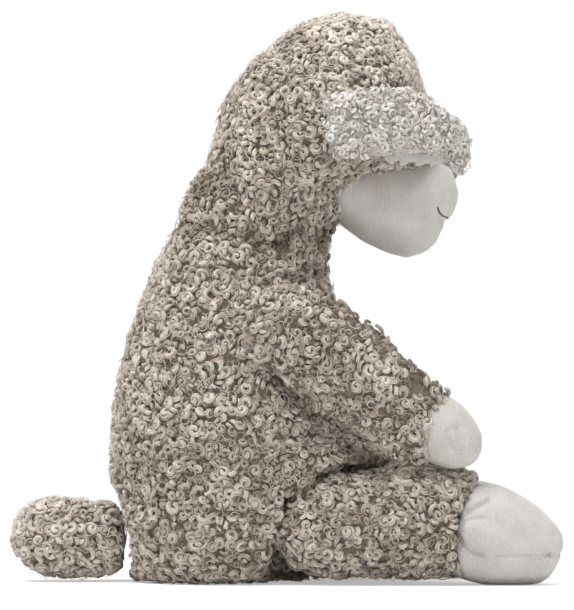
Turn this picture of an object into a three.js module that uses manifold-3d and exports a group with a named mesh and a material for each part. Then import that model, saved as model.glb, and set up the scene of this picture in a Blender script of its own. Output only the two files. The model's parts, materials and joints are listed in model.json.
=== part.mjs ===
// Plush sheep that sits on the floor with its hands on its lap. Millimetres, +Z up.
// It faces +X and its left side is +Y. The origin is on the floor, under the middle of the sheep.
// Every cover is a shell of cloth with its own stuffing inside, and each limb turns on its root seam.

import * as THREE from 'three';
import { mergeVertices } from 'three/addons/utils/BufferGeometryUtils.js';
import Module from 'manifold-3d';

const wasm = await Module();
wasm.setup();

// Cloth and clearances

const fleece_thickness = 7;
const velvet_thickness = 1.6;
const clearance = 0.3;
const turning_clearance = 0.6;
const overrun = 4;
const least_cap = 1;

// Body

const body_height = 196;
const body_depth = 135;
const body_width = 126;
const neck_radius = 43;
const seat_length = 46;
const seat_width = 72;
const pellet_bag_height = 20;

// Head

const head_height = 130;
const head_length = 130;
const head_width = 111;
const head_forward = 41;
const head_rise = 53;
const muzzle_length = 70;
const muzzle_height = 51;
const muzzle_width = 58;
const nose_thread = 1.4;
const eye_diameter = 9;
const eye_rise = 2.6;
const eye_stem_diameter = 2.6;
const washer_diameter = 9;
const washer_thickness = 1.2;
const ear_length = 76;
const ear_width = 43;
const ear_thickness = 11;

// Limbs and tail

const arm_length = 87;
const arm_thickness = 60;
const arm_width = 45;
const hand_length = 27;
const hand_thickness = 37;
const hand_width = 36;
const leg_length = 77;
const leg_thickness = 61;
const leg_width = 55;
const foot_length = 51;
const foot_thickness = 55;
const foot_width = 52;
const sole_thickness = 15.5;
const tail_length = 58;
const tail_thickness = 48;

// How far each joint turns from rest, in degrees

const head_turns = [-30, 5];
const arm_turns = [0, 55];
const leg_turns = [-80, 0];
const ear_turns = [0, 60];
const tail_turns = [0, 35];
const sweep_step_angle = 20;
const fan_step_angle = 20;

// Facets

const outside_detail = { body_sides: 24, limb_sides: 16, ring_share: 0.5, cap_angles: [32, 62] };
const inside_detail = { body_sides: 14, limb_sides: 8, ring_share: 1, cap_angles: [45] };
const search_share = 0.125;

// Joint centres, from the sizes of what carries them

const body_back_share = 0.217;
const neck_forward_share = 0.108;
const body_x = -body_back_share * body_depth;
const neck = new THREE.Vector3(body_x + neck_forward_share * body_depth, 0, body_height);
const head_centre = neck.clone().add(new THREE.Vector3(head_forward, 0, head_rise));
const shoulder_shares = [0.226, 0.413, 0.71];
const shoulder = new THREE.Vector3(
  body_x + shoulder_shares[0] * body_depth,
  shoulder_shares[1] * body_width,
  shoulder_shares[2] * body_height,
);
const hip_shares = [0.381, 0.286, 0.529];
const hip = new THREE.Vector3(
  body_x + hip_shares[0] * body_depth,
  hip_shares[1] * body_width,
  hip_shares[2] * leg_thickness,
);
const tail_root_shares = [-0.478, 0, 0.475];
const tail_root = new THREE.Vector3(
  body_x + tail_root_shares[0] * body_depth,
  tail_root_shares[1] * body_width,
  tail_root_shares[2] * tail_thickness,
);
const ear_root_shares = [-0.01, 0.505, 0];
const ear_root = head_centre.clone().add(new THREE.Vector3(
  ear_root_shares[0] * head_length,
  ear_root_shares[1] * head_width,
  ear_root_shares[2] * head_height,
));
const turn_axis = new THREE.Vector3(0, 1, 0);
const ear_axis_lean = 16;
const ear_axis = new THREE.Vector3(-Math.sin(radians(ear_axis_lean)), 0, Math.cos(radians(ear_axis_lean)));

function radians(degrees) {
  return THREE.MathUtils.degToRad(degrees);
}

// Smooth rows: a smooth curve through every column of a table, in steps of a share of a row.

function smooth(rows, step_share) {
  const last = rows.length - 1;
  const count = Math.round(last / step_share);
  const at = (row, column) => rows[THREE.MathUtils.clamp(row, 0, last)][column];
  const out = [];
  for (let k = 0; k <= count; k += 1) {
    const place = (k * last) / count;
    const row = Math.min(Math.floor(place), last - 1);
    const t = place - row;
    out.push(rows[0].map((_, column) => {
      const [a, b, c, d] = [-1, 0, 1, 2].map((shift) => at(row + shift, column));
      const bend = 2 * a - 5 * b + 4 * c - d;
      return b + 0.5 * t * (c - a + t * (bend + t * (3 * (b - c) + d - a)));
    }));
  }
  return out;
}

// A ring is a centre with two half axes, turning from the first to the second round the loft's way on.

function ring(centre, first, second) {
  return { centre, first, second };
}

function loft(rings, sides, start = rings[0].centre, end = rings[rings.length - 1].centre) {
  const loops = rings.map(({ centre, first, second }) => Array.from({ length: sides }, (_, j) => {
    const angle = (j / sides) * 2 * Math.PI;
    const point = centre.clone().addScaledVector(first, Math.cos(angle));
    return point.addScaledVector(second, Math.sin(angle));
  }));
  return skin(loops, start, end);
}

// A skin goes over loops of points, and closes in a fan at either end.

function skin(loops, start, end) {
  const sides = loops[0].length;
  const points = loops.flat();
  const faces = [];
  const start_index = points.push(start.clone()) - 1;
  const end_index = points.push(end.clone()) - 1;
  const last = (loops.length - 1) * sides;
  for (let j = 0; j < sides; j += 1) {
    const next = (j + 1) % sides;
    faces.push(start_index, next, j, end_index, last + j, last + next);
    for (let low = 0; low < last; low += sides) {
      faces.push(low + j, low + next, low + sides + next);
      faces.push(low + j, low + sides + next, low + sides + j);
    }
  }
  const geometry = new THREE.BufferGeometry();
  const numbers = points.flatMap((point) => point.toArray());
  geometry.setAttribute('position', new THREE.Float32BufferAttribute(numbers, 3));
  geometry.setIndex(faces);
  return geometry;
}

// A form that is grown by nothing or more is an outside and finely faceted; a shrunk one is an inside.

function detail_of(grow) {
  return grow < 0 ? inside_detail : outside_detail;
}

// A limb's rings stand square to its centre line. Rows hold x, y, z, half thickness, half width,
// and both ends close as rounded caps of the given lengths.

function limb(rows, start_cap, end_cap, grow) {
  const { limb_sides, ring_share, cap_angles } = detail_of(grow);
  const start_length = Math.max(start_cap + grow, least_cap);
  const end_length = Math.max(end_cap + grow, least_cap);
  const table = smooth(rows, ring_share);
  const centres = table.map(([x, y, z]) => new THREE.Vector3(x, y, z));
  const rings = table.map(([, , , thick, wide], k) => {
    const way = centres[Math.min(k + 1, centres.length - 1)].clone();
    way.sub(centres[Math.max(k - 1, 0)]).normalize();
    const across = new THREE.Vector3(0, 1, 0);
    across.addScaledVector(way, -across.dot(way)).normalize();
    const up = new THREE.Vector3().crossVectors(across, way);
    return ring(centres[k], up.multiplyScalar(thick + grow), across.multiplyScalar(wide + grow));
  });
  const last = rings[rings.length - 1];
  const start = cap(rings[0], start_length, -1, cap_angles).reverse();
  const end = cap(last, end_length, 1, cap_angles);
  const tips = [tip(rings[0], start_length, -1), tip(last, end_length, 1)];
  return loft([...start, ...rings, ...end], limb_sides, ...tips);
}

function way_on({ first, second }) {
  return new THREE.Vector3().crossVectors(first, second).normalize();
}

function tip(base, length, sense) {
  return base.centre.clone().addScaledVector(way_on(base), sense * length);
}

function cap(base, length, sense, cap_angles) {
  return cap_angles.map((angle) => ring(
    base.centre.clone().addScaledVector(way_on(base), sense * length * Math.sin(radians(angle))),
    base.first.clone().multiplyScalar(Math.cos(radians(angle))),
    base.second.clone().multiplyScalar(Math.cos(radians(angle))),
  ));
}

// Solids

function solid(geometry) {
  const plain = geometry.clone();
  for (const name of Object.keys(plain.attributes)) {
    if (name !== 'position') {
      plain.deleteAttribute(name);
    }
  }
  const merged = mergeVertices(plain, clearance / 100);
  const points = merged.attributes.position;
  const corners = [0, 1, 2].map(() => new THREE.Vector3());
  const faces = [];
  let volume = 0;
  for (let k = 0; k < merged.index.count; k += 3) {
    const face = [0, 1, 2].map((step) => merged.index.getX(k + step));
    if (new Set(face).size === 3) {
      face.forEach((point, step) => corners[step].fromBufferAttribute(points, point));
      volume += corners[0].dot(corners[1].cross(corners[2]));
      faces.push(face);
    }
  }
  if (volume < 0) {
    faces.forEach((face) => face.reverse());
  }
  return new wasm.Manifold(new wasm.Mesh({
    numProp: 3,
    vertProperties: new Float32Array(points.array),
    triVerts: new Uint32Array(faces.flat()),
  }));
}

function turned(geometry, centre, axis, degrees) {
  const turn = new THREE.Matrix4().makeRotationAxis(axis, radians(degrees));
  const there = new THREE.Matrix4().makeTranslation(centre.x, centre.y, centre.z);
  const back = there.clone().invert();
  return geometry.clone().applyMatrix4(there.multiply(turn).multiply(back));
}

// A fan is the room for a limb with a round root, from its least turn to its most. Turns count from +X
// up towards +Z, and the spread opens the fan for a limb that swells on its way out.

function fan_form(centre, radius, half_width, [least, most], reach, spread = 0) {
  const outline = [];
  const put = (from, angle, length) => outline.push([
    from[0] + length * Math.cos(radians(angle)),
    from[1] + length * Math.sin(radians(angle)),
  ]);
  const arc_start = most + spread + 90;
  const arc_end = least - spread + 270;
  const arc_steps = Math.ceil((arc_end - arc_start) / fan_step_angle);
  for (let k = 0; k <= arc_steps; k += 1) {
    put([0, 0], arc_start + ((arc_end - arc_start) * k) / arc_steps, radius);
  }
  put(outline[arc_steps], least - spread, reach);
  put([0, 0], (least + most) / 2, 2 * reach);
  put(outline[0], most + spread, reach);
  const slices = [-75, -50, -25, 0, 25, 50, 75];
  const loops = slices.map((slice) => outline.map(([x, z]) => new THREE.Vector3(
    centre.x + x * Math.cos(radians(slice)),
    centre.y + half_width * Math.sin(radians(slice)),
    centre.z + z * Math.cos(radians(slice)),
  )));
  const ends = [-1, 1].map((sense) => centre.clone().setY(centre.y + sense * half_width));
  return skin(loops, ...ends);
}

function without_sweep(piece, other, centre, axis, [least, most]) {
  const steps = Math.max(1, Math.ceil((most - least) / sweep_step_angle));
  let rest = piece;
  for (let k = 0; k <= steps; k += 1) {
    const angle = least + ((most - least) * k) / steps;
    rest = rest.subtract(solid(turned(other, centre, axis, angle)));
  }
  return rest;
}

function box(length, width, height, x, y, z) {
  return solid(new THREE.BoxGeometry(length, width, height).translate(x, y, z));
}

// The right side's shapes are the left side's in a mirror; solid() turns their faces out again.

function beside(geometry, side) {
  return side > 0 ? geometry : geometry.clone().scale(1, -1, 1);
}

// Body: level rings with the back and front of the photographed outline. Rows hold the height as a share
// of the body's height, then back, front and half width as shares of half the depth and half the width.

const body_shares = [
  [0, -0.78, 0.73, 0.70],
  [0.02, -0.86, 0.82, 0.80],
  [0.07, -0.91, 0.92, 0.89],
  [0.185, -0.95, 1.08, 0.965],
  [0.267, -0.98, 1.28, 0.99],
  [0.338, -0.995, 1.4, 1],
  [0.39, -0.995, 1.22, 1],
  [0.441, -0.985, 1.05, 1],
  [0.544, -0.95, 0.985, 0.97],
  [0.656, -0.875, 0.95, 0.92],
  [0.769, -0.775, 0.89, 0.857],
  [0.882, -0.64, 0.79, 0.765],
  [0.964, -0.505, 0.775, 0.70],
];

function body_rings(grow) {
  const rows = body_shares.map(([height, back, front, half]) => [
    height * body_height,
    body_x + (back * body_depth) / 2,
    body_x + (front * body_depth) / 2,
    (half * body_width) / 2,
  ]);
  rows.push([body_height, neck.x - neck_radius, neck.x + neck_radius, neck_radius]);
  return rows.map(([z, back, front, half], k) => {
    const low = k === 0 ? Math.max(grow, 0) : 0;
    return level_ring(z - low, back, front, half, grow);
  });
}

function level_ring(z, back, front, half, grow) {
  const centre = new THREE.Vector3((back + front) / 2, 0, z);
  const first = new THREE.Vector3((front - back) / 2 + grow, 0, 0);
  return ring(centre, first, new THREE.Vector3(0, half + grow, 0));
}

function body_form(grow) {
  const { body_sides, cap_angles } = detail_of(grow);
  const rings = body_rings(grow);
  const top = rings[rings.length - 1];
  const radius = neck_radius + grow;
  const dome = cap(top, radius, 1, cap_angles);
  return loft([...rings, ...dome], body_sides, rings[0].centre, tip(top, radius, 1));
}

function oval(length, width, low, high, x, grow) {
  const rings = [low, high].map((z) => ring(
    new THREE.Vector3(x, 0, z),
    new THREE.Vector3(length / 2 + grow, 0, 0),
    new THREE.Vector3(0, width / 2 + grow, 0),
  ));
  return solid(loft(rings, 24));
}

const seat_back_share = 0.03;
const seat_x = body_x - seat_back_share * body_depth;

const bag_shares = [[0, 0.74], [0.14, 0.94], [0.4, 1.05], [0.7, 0.9], [0.93, 0.5]];

function pellet_form(grow) {
  const low = fleece_thickness + 2 * clearance - grow;
  const height = pellet_bag_height + 2 * grow;
  const rings = bag_shares.map(([rise, reach]) => ring(
    new THREE.Vector3(seat_x, 0, low + rise * height),
    new THREE.Vector3((reach * seat_length) / 2 + grow, 0, 0),
    new THREE.Vector3(0, (reach * seat_width) / 2 + grow, 0),
  ));
  return solid(loft(rings, 16, rings[0].centre, new THREE.Vector3(seat_x, 0, low + height)));
}

// Head: level rings again, as shares of the head's height, length and width about the head's centre.
// The brow stands out over the muzzle.

const head_shares = [
  [-0.5, -0.492, -0.031, 0.31],
  [-0.454, -0.508, 0.008, 0.36],
  [-0.377, -0.515, 0.054, 0.405],
  [-0.285, -0.523, 0.092, 0.44],
  [-0.215, -0.527, 0.131, 0.468],
  [-0.177, -0.523, 0.262, 0.477],
  [-0.146, -0.519, 0.431, 0.486],
  [-0.1, -0.508, 0.477, 0.495],
  [0.008, -0.492, 0.446, 0.505],
  [0.123, -0.462, 0.415, 0.495],
  [0.238, -0.388, 0.388, 0.45],
  [0.323, -0.304, 0.353, 0.387],
  [0.4, -0.208, 0.3, 0.297],
  [0.462, -0.1, 0.245, 0.189],
];
const crown_shares = [0.508, 0.06];

function head_form(grow) {
  const { body_sides } = detail_of(grow);
  const stretch = (head_height + 2 * grow) / head_height;
  const rows = head_shares.map(([height, back, front, half]) => [
    head_centre.z + height * head_height * stretch,
    head_centre.x + back * head_length,
    head_centre.x + front * head_length,
    half * head_width,
  ]);
  const rings = rows.map(([z, back, front, half]) => level_ring(z, back, front, half, grow));
  const crown = new THREE.Vector3(
    head_centre.x + crown_shares[1] * head_length,
    0,
    head_centre.z + crown_shares[0] * head_height * stretch,
  );
  return loft(rings, body_sides, rings[0].centre, crown);
}

function head_side(level, across, out) {
  const row = row_at(head_shares, level);
  const middle = ((row[1] + row[2]) / 2) * head_length;
  const reach = ((row[2] - row[1]) / 2) * head_length;
  const half = row[3] * head_width;
  const angle = radians(across);
  const place = new THREE.Vector3(
    head_centre.x + middle + reach * Math.cos(angle),
    half * Math.sin(angle),
    head_centre.z + row[0] * head_height,
  );
  const way = new THREE.Vector3(Math.cos(angle) / reach, Math.sin(angle) / half, 0).normalize();
  return { place: place.addScaledVector(way, out), way };
}

// Muzzle: upright rings from the cheeks to the nose, as shares of its length, height and width.

const muzzle_shares = [
  [0, 0.02, -0.54, 0.40],
  [0.09, 0.09, -0.67, 0.46],
  [0.26, 0.12, -0.84, 0.5],
  [0.46, 0.11, -0.965, 0.5],
  [0.60, 0.08, -1.01, 0.483],
  [0.74, 0.06, -0.95, 0.44],
  [0.86, 0.03, -0.82, 0.38],
  [0.95, -0.04, -0.6, 0.25],
];
const muzzle_drop_share = 0.392;
const nose_rise_share = -0.29;
const muzzle_z = head_centre.z - muzzle_drop_share * muzzle_height;

function muzzle_ring([along, top, bottom, half], grow) {
  const x = head_centre.x + along * muzzle_length;
  const high = muzzle_z + top * muzzle_height + grow;
  const low = muzzle_z + bottom * muzzle_height - grow;
  const side = new THREE.Vector3(0, half * muzzle_width + grow, 0);
  return ring(new THREE.Vector3(x, 0, (high + low) / 2), side, new THREE.Vector3(0, 0, (high - low) / 2));
}

function muzzle_form(grow, back) {
  const { limb_sides } = detail_of(grow);
  const rings = muzzle_shares.map((row) => muzzle_ring(row, grow));
  if (back > 0) {
    const { centre, first, second } = rings[0];
    rings.unshift(ring(centre.clone().setX(centre.x - back), first, second));
  }
  const nose = new THREE.Vector3(
    head_centre.x + muzzle_length + grow,
    0,
    muzzle_z + nose_rise_share * muzzle_height,
  );
  return loft(rings, limb_sides + 4, rings[0].centre, nose);
}

// Nose thread: a shallow V laid on the muzzle, from its own rows of place along and angle round.

function row_at(rows, value) {
  const distance = (row) => Math.abs(row[0] - value);
  return smooth(rows, search_share).reduce((best, next) => (distance(next) < distance(best) ? next : best));
}

const nose_shares = [[0.83, -10], [0.86, -23], [0.89, -38], [0.92, -55], [0.94, -76]];
const nose_step_share = 0.07;

function nose_form(grow) {
  const mirrored_shares = nose_shares.map(([along, round]) => [along, -180 - round]).reverse();
  const points = [...nose_shares, ...mirrored_shares].map(([along, round]) => {
    const { centre, first, second } = muzzle_ring(row_at(muzzle_shares, along), 0);
    const angle = radians(round);
    return centre.addScaledVector(first, Math.cos(angle)).addScaledVector(second, Math.sin(angle));
  });
  const outline = new THREE.Shape().absarc(0, 0, nose_thread / 2 + grow, 0, 2 * Math.PI);
  const path = new THREE.CatmullRomCurve3(points);
  const steps = Math.round(1 / nose_step_share);
  return new THREE.ExtrudeGeometry(outline, { steps, curveSegments: 3, extrudePath: path });
}

// Eyes: a domed button on a stem that a washer holds from inside.

const eye_level_share = -0.07;
const eye_across_angle = 56;

function upright_lathe(profile, place, way, sides = 10) {
  const geometry = new THREE.LatheGeometry(profile, sides);
  const turn = new THREE.Quaternion().setFromUnitVectors(new THREE.Vector3(0, 1, 0), way);
  return geometry.applyQuaternion(turn).translate(place.x, place.y, place.z);
}

const eye_stem_length = fleece_thickness + washer_thickness + 2 * clearance + overrun / 2;

function eye_form(side, grow) {
  const { place, way } = head_side(eye_level_share, side * eye_across_angle, clearance);
  const stem = eye_stem_diameter / 2 + grow;
  const dome = new THREE.EllipseCurve(0, 0, eye_diameter / 2 + grow, eye_rise + grow, 0, Math.PI / 2);
  const profile = [
    new THREE.Vector2(0, -eye_stem_length - grow),
    new THREE.Vector2(stem, -eye_stem_length - grow),
    new THREE.Vector2(stem, -grow),
    new THREE.Vector2(eye_diameter / 2 + grow, -grow),
    ...dome.getPoints(3).slice(1, -1),
    new THREE.Vector2(0, eye_rise + grow),
  ];
  return upright_lathe(profile, place, way);
}

const washer_depth = fleece_thickness + 6 * clearance;

function washer_form(side, grow, bore) {
  const { place, way } = head_side(eye_level_share, side * eye_across_angle, -washer_depth);
  const outer = washer_diameter / 2 + grow;
  const low = -washer_thickness - clearance - grow;
  const high = -clearance + grow;
  const corners = [[bore, low], [outer, low], [outer, high], [bore, high], [bore, low]];
  return upright_lathe(corners.map(([x, y]) => new THREE.Vector2(x, y)), place, way);
}

// Ears: a flat tapering flap from the side of the head. The velvet lining shows below the fleece.

const ear_shares = [
  [0, 0, -0.02, 0.34, 0.42],
  [0.16, 0.03, 0, 0.44, 0.5],
  [0.38, 0.07, 0, 0.5, 0.5],
  [0.62, 0.09, -0.05, 0.46, 0.46],
  [0.82, 0.09, -0.14, 0.36, 0.4],
  [0.93, 0.08, -0.185, 0.25, 0.32],
];
const ear_cap_share = 0.07;
const ear_split_share = 0.1;

function ear_form(side, grow, drop = 0) {
  const rows = ear_shares.map(([along, out, rise, half, thick]) => [
    ear_root.x + along * ear_length,
    ear_root.y + out * ear_length,
    ear_root.z + rise * ear_length - drop,
    half * ear_width,
    thick * ear_thickness,
  ]);
  return beside(limb(rows, ear_cap_share * ear_length, ear_cap_share * ear_length, grow), side);
}

// The plane between fleece and lining follows the ear's middle, a little towards the head.

function ear_split(side, outward) {
  const last = ear_shares[ear_shares.length - 1];
  const lean = Math.atan2(last[1] * ear_length, last[0] * ear_length);
  const reach = 2 * ear_length;
  const shift = outward > 0 ? clearance / 2 : -clearance / 2;
  const geometry = new THREE.BoxGeometry(2 * reach, reach, 2 * reach);
  geometry.translate(0, (outward * reach) / 2 + shift - ear_split_share * ear_thickness, 0);
  geometry.rotateZ(lean).translate(ear_root.x, ear_root.y, ear_root.z);
  return solid(beside(geometry, side));
}

// Arms: fat at the shoulder, bent a little, narrow at the cuff, and resting on the lap.

const arm_drop = shoulder.z - leg_thickness;
const arm_shares = [
  [-0.057, 0.03, 0.025, 0.474, 0.44],
  [0.126, 0.01, -0.068, 0.5, 0.5],
  [0.448, -0.03, -0.357, 0.491, 0.5],
  [0.724, -0.07, -0.565, 0.456, 0.46],
  [0.89, -0.095, -0.678, 0.38, 0.4],
];
const hand_shares = [
  [0.865, -0.09, -0.655, 0.5, 0.5],
  [0.982, -0.105, -0.73, 0.5, 0.5],
  [1.065, -0.11, -0.81, 0.42, 0.45],
];
const arm_cap_shares = [0.33, 0.06];
const hand_cap_shares = [0.3, 0.34];

function arm_rows(shares, thickness, width) {
  return shares.map(([along, out, rise, thick, wide]) => [
    shoulder.x + along * arm_length,
    shoulder.y + out * arm_length,
    shoulder.z + rise * arm_drop,
    thick * thickness,
    wide * width,
  ]);
}

function arm_form(side, grow) {
  const rows = arm_rows(arm_shares, arm_thickness, arm_width);
  const caps = arm_cap_shares.map((share) => share * arm_thickness);
  return beside(limb(rows, ...caps, grow), side);
}

function hand_form(side, grow) {
  const rows = arm_rows(hand_shares, hand_thickness, hand_width);
  const caps = hand_cap_shares.map((share) => share * hand_length);
  return beside(limb(rows, ...caps, grow), side);
}

// Legs: a round root in the hip, a fat sleeve along the floor, and a big soft foot.

const leg_shares = [
  [0, 0, 0, 0.5, 0.5],
  [0.3, 0, 0, 0.5, 0.5],
  [0.55, 0.01, 0.024, 0.545, 0.5],
  [0.83, 0.015, -0.006, 0.49, 0.5],
  [1, 0.02, -0.045, 0.465, 0.49],
];
const leg_spread_angle = 8;
const leg_end_share = 0.05;
const foot_shares = [
  [0, 0.04, 0.48, 0.47],
  [0.3, -0.03, 0.49, 0.5],
  [0.58, -0.115, 0.43, 0.46],
  [0.82, -0.21, 0.32, 0.37],
];
const foot_cap_shares = [0.2, 0.18];

function leg_form(side, grow) {
  const rows = leg_shares.map(([along, out, rise, thick, wide]) => [
    hip.x + along * leg_length,
    hip.y + out * leg_length,
    hip.z + rise * leg_length,
    thick * leg_thickness,
    wide * leg_width,
  ]);
  const root = leg_shares[0][3] * leg_thickness;
  return beside(limb(rows, root, leg_end_share * leg_length, grow), side);
}

function foot_form(side, grow) {
  const ankle_y = hip.y + leg_shares[leg_shares.length - 1][1] * leg_length;
  const rows = foot_shares.map(([along, rise, thick, wide]) => [
    hip.x + leg_length + along * foot_length,
    ankle_y,
    foot_thickness / 2 + rise * foot_thickness,
    thick * foot_thickness,
    wide * foot_width,
  ]);
  const caps = foot_cap_shares.map((share) => share * foot_length);
  return beside(limb(rows, ...caps, grow), side);
}

// Tail: a fat roll that lies on the floor behind the seat.

const tail_shares = [[0, 0, 0.45], [0.27, 0.015, 0.475], [0.56, 0.04, 0.5]];
const tail_end_share = 0.44;
const tail_spread_angle = 11;

function tail_form(grow) {
  const rows = tail_shares.map(([along, rise, thick]) => [
    tail_root.x - along * tail_length,
    0,
    tail_root.z + rise * tail_thickness,
    thick * tail_thickness,
    thick * tail_thickness,
  ]);
  return limb(rows, tail_shares[0][2] * tail_thickness, tail_end_share * tail_length, grow);
}

// Colours

const finishes = {
  fleece: { color: 0xbfb4a4, roughness: 0.95, metalness: 0 },
  pale_fleece: { color: 0xcdc4b7, roughness: 0.95, metalness: 0 },
  velvet: { color: 0xd3ccc4, roughness: 0.8, metalness: 0 },
  thread: { color: 0x4b4744, roughness: 0.7, metalness: 0 },
  eye: { color: 0x15120f, roughness: 0.15, metalness: 0 },
  washer: { color: 0xe8e6e0, roughness: 0.5, metalness: 0 },
  stuffing: { color: 0xf2f0ea, roughness: 1, metalness: 0 },
  pellets: { color: 0xd9d4c8, roughness: 0.9, metalness: 0 },
};
const materials = Object.fromEntries(
  Object.entries(finishes).map(([name, look]) => [name, new THREE.MeshStandardMaterial(look)]),
);
const sheep = new THREE.Group();

function add(name, piece, finish) {
  const { vertProperties, triVerts, numProp } = piece.getMesh();
  const geometry = new THREE.BufferGeometry();
  const points = [];
  for (let k = 0; k < vertProperties.length; k += numProp) {
    points.push(vertProperties[k], vertProperties[k + 1], vertProperties[k + 2]);
  }
  geometry.setAttribute('position', new THREE.Float32BufferAttribute(points, 3));
  geometry.setIndex(Array.from(triVerts));
  const flat = geometry.toNonIndexed();
  flat.computeVertexNormals();
  const mesh = new THREE.Mesh(flat, materials[finish]);
  mesh.name = name;
  sheep.add(mesh);
}

// Torso

const sides = [['left', 1], ['right', -1]];
const wall = fleece_thickness;
const floor_reach = 2 * body_depth;

function above(height) {
  return box(2 * floor_reach, floor_reach, floor_reach, 0, 0, height + floor_reach / 2);
}

function below(height) {
  return box(2 * floor_reach, floor_reach, floor_reach, 0, 0, height - floor_reach / 2);
}

const tail_radius = tail_shares[0][2] * tail_thickness + turning_clearance;
const tail_angles = [180 - tail_turns[1], 180 - tail_turns[0]];
const tail_reach = 2 * tail_length;
const tail_fan = fan_form(tail_root, tail_radius, tail_radius, tail_angles, tail_reach, tail_spread_angle);
const hip_radius = leg_shares[0][3] * leg_thickness + 2 * turning_clearance;
const hip_half = leg_shares[0][4] * leg_width + turning_clearance;
const leg_fan = fan_form(hip, hip_radius, hip_half, leg_turns, 2 * leg_length, leg_spread_angle);

function make_room_for_limbs(piece) {
  const rest = piece.subtract(solid(tail_fan)).subtract(solid(leg_fan));
  return rest.subtract(solid(beside(leg_fan, -1)));
}

const body_inside = solid(body_form(-wall)).intersect(above(wall));
const seat_opening = oval(seat_length, seat_width, -overrun, wall + overrun, seat_x, clearance);
const body_bag = solid(body_form(0)).subtract(body_inside).subtract(seat_opening);
const body_cover = make_room_for_limbs(body_bag);
add('body_cover', body_cover, 'fleece');
add('seat_panel', oval(seat_length, seat_width, 0, wall, seat_x, 0), 'fleece');
const body_filling = solid(body_form(-wall - clearance)).intersect(above(wall + clearance));
const body_stuffing = make_room_for_limbs(body_filling.subtract(pellet_form(clearance)));
add('body_stuffing', body_stuffing, 'stuffing');
add('pellet_bag', pellet_form(0), 'pellets');

// Head

const shoulders = loft(body_rings(turning_clearance).slice(-4), outside_detail.body_sides);
const neck_room = new THREE.SphereGeometry(neck_radius + 2 * turning_clearance, 18, 12);
neck_room.translate(neck.x, neck.y, neck.z);
const seen_head_turns = head_turns.map((angle) => -angle).reverse();

function clear_of_body(piece) {
  const rest = without_sweep(piece, shoulders, neck, turn_axis, seen_head_turns);
  return rest.subtract(solid(neck_room));
}

const muzzle_back = fleece_thickness;
const cup_inside = solid(muzzle_form(-velvet_thickness, muzzle_back));
let hood = solid(head_form(0)).subtract(solid(head_form(-wall)));
hood = clear_of_body(hood).subtract(solid(muzzle_form(clearance, 0))).subtract(cup_inside);
let cup = solid(muzzle_form(0, 0)).subtract(cup_inside);
cup = clear_of_body(cup).subtract(solid(nose_form(clearance)));
const head_core = solid(head_form(-wall - clearance)).subtract(solid(muzzle_form(clearance, 0)));
const muzzle_core = solid(muzzle_form(-velvet_thickness - clearance, muzzle_back));
let head_filling = head_core.add(muzzle_core).subtract(solid(neck_room));
for (const [name, side] of sides) {
  const eye = solid(eye_form(side, 0));
  const eye_room = solid(eye_form(side, clearance));
  const washer_room = solid(washer_form(side, clearance, 0));
  hood = hood.subtract(eye_room);
  head_filling = head_filling.subtract(eye_room).subtract(washer_room);
  add(`eye_${name}`, eye, 'eye');
  add(`eye_washer_${name}`, solid(washer_form(side, 0, eye_stem_diameter / 2 + clearance)), 'washer');
}
add('head_cover', hood, 'fleece');
add('muzzle_cover', cup, 'velvet');
add('head_stuffing', head_filling, 'stuffing');
add('nose_stitch', solid(nose_form(0)), 'thread');

// Ears

const ear_seat = head_form(turning_clearance);
const lining_drop_share = 0.1;
const lining_drop = lining_drop_share * ear_width;
for (const [name, side] of sides) {
  const root = ear_root.clone();
  root.y *= side;
  const axis = ear_axis.clone().multiplyScalar(side);
  const turns = ear_turns.map((angle) => -angle).reverse();
  const outer = solid(ear_form(side, 0)).intersect(ear_split(side, 1));
  const lining = solid(ear_form(side, 0, lining_drop)).intersect(ear_split(side, -1));
  add(`ear_outer_${name}`, without_sweep(outer, ear_seat, root, axis, turns), 'pale_fleece');
  add(`ear_lining_${name}`, without_sweep(lining, ear_seat, root, axis, turns), 'velvet');
}

// Arms: the inner side of each is hollowed so that it clears the body at every turn. At each distance
// from the shoulder, the hollow is as deep as the body's side anywhere on the way of the arm.

function body_half_at(x, z) {
  const rings = body_rings(0);
  const high = Math.max(rings.findIndex((level) => level.centre.z > z), 1);
  const [low, top] = [rings[high - 1], rings[high]];
  const share = (z - low.centre.z) / (top.centre.z - low.centre.z);
  const middle = THREE.MathUtils.lerp(low.centre.x, top.centre.x, share);
  const reach = THREE.MathUtils.lerp(low.first.x, top.first.x, share);
  const half = THREE.MathUtils.lerp(low.second.y, top.second.y, share);
  const facet = (2 * Math.PI) / outside_detail.body_sides;
  const across = THREE.MathUtils.clamp((x - middle) / reach, -1, 1);
  const corner = Math.floor(Math.acos(across) / facet) * facet;
  const on_facet = (Math.cos(corner) - across) / (Math.cos(corner) - Math.cos(corner + facet));
  return half * THREE.MathUtils.lerp(Math.sin(corner), Math.sin(corner + facet), on_facet);
}

const arm_hollow_step = 10;
const arm_hollow_share = 1.35;
const arm_slack_share = 0.12;
const arm_hollow_reach = arm_hollow_share * arm_length;
const arm_way_angle = -38;
const arm_bend_angle = 12;

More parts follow.
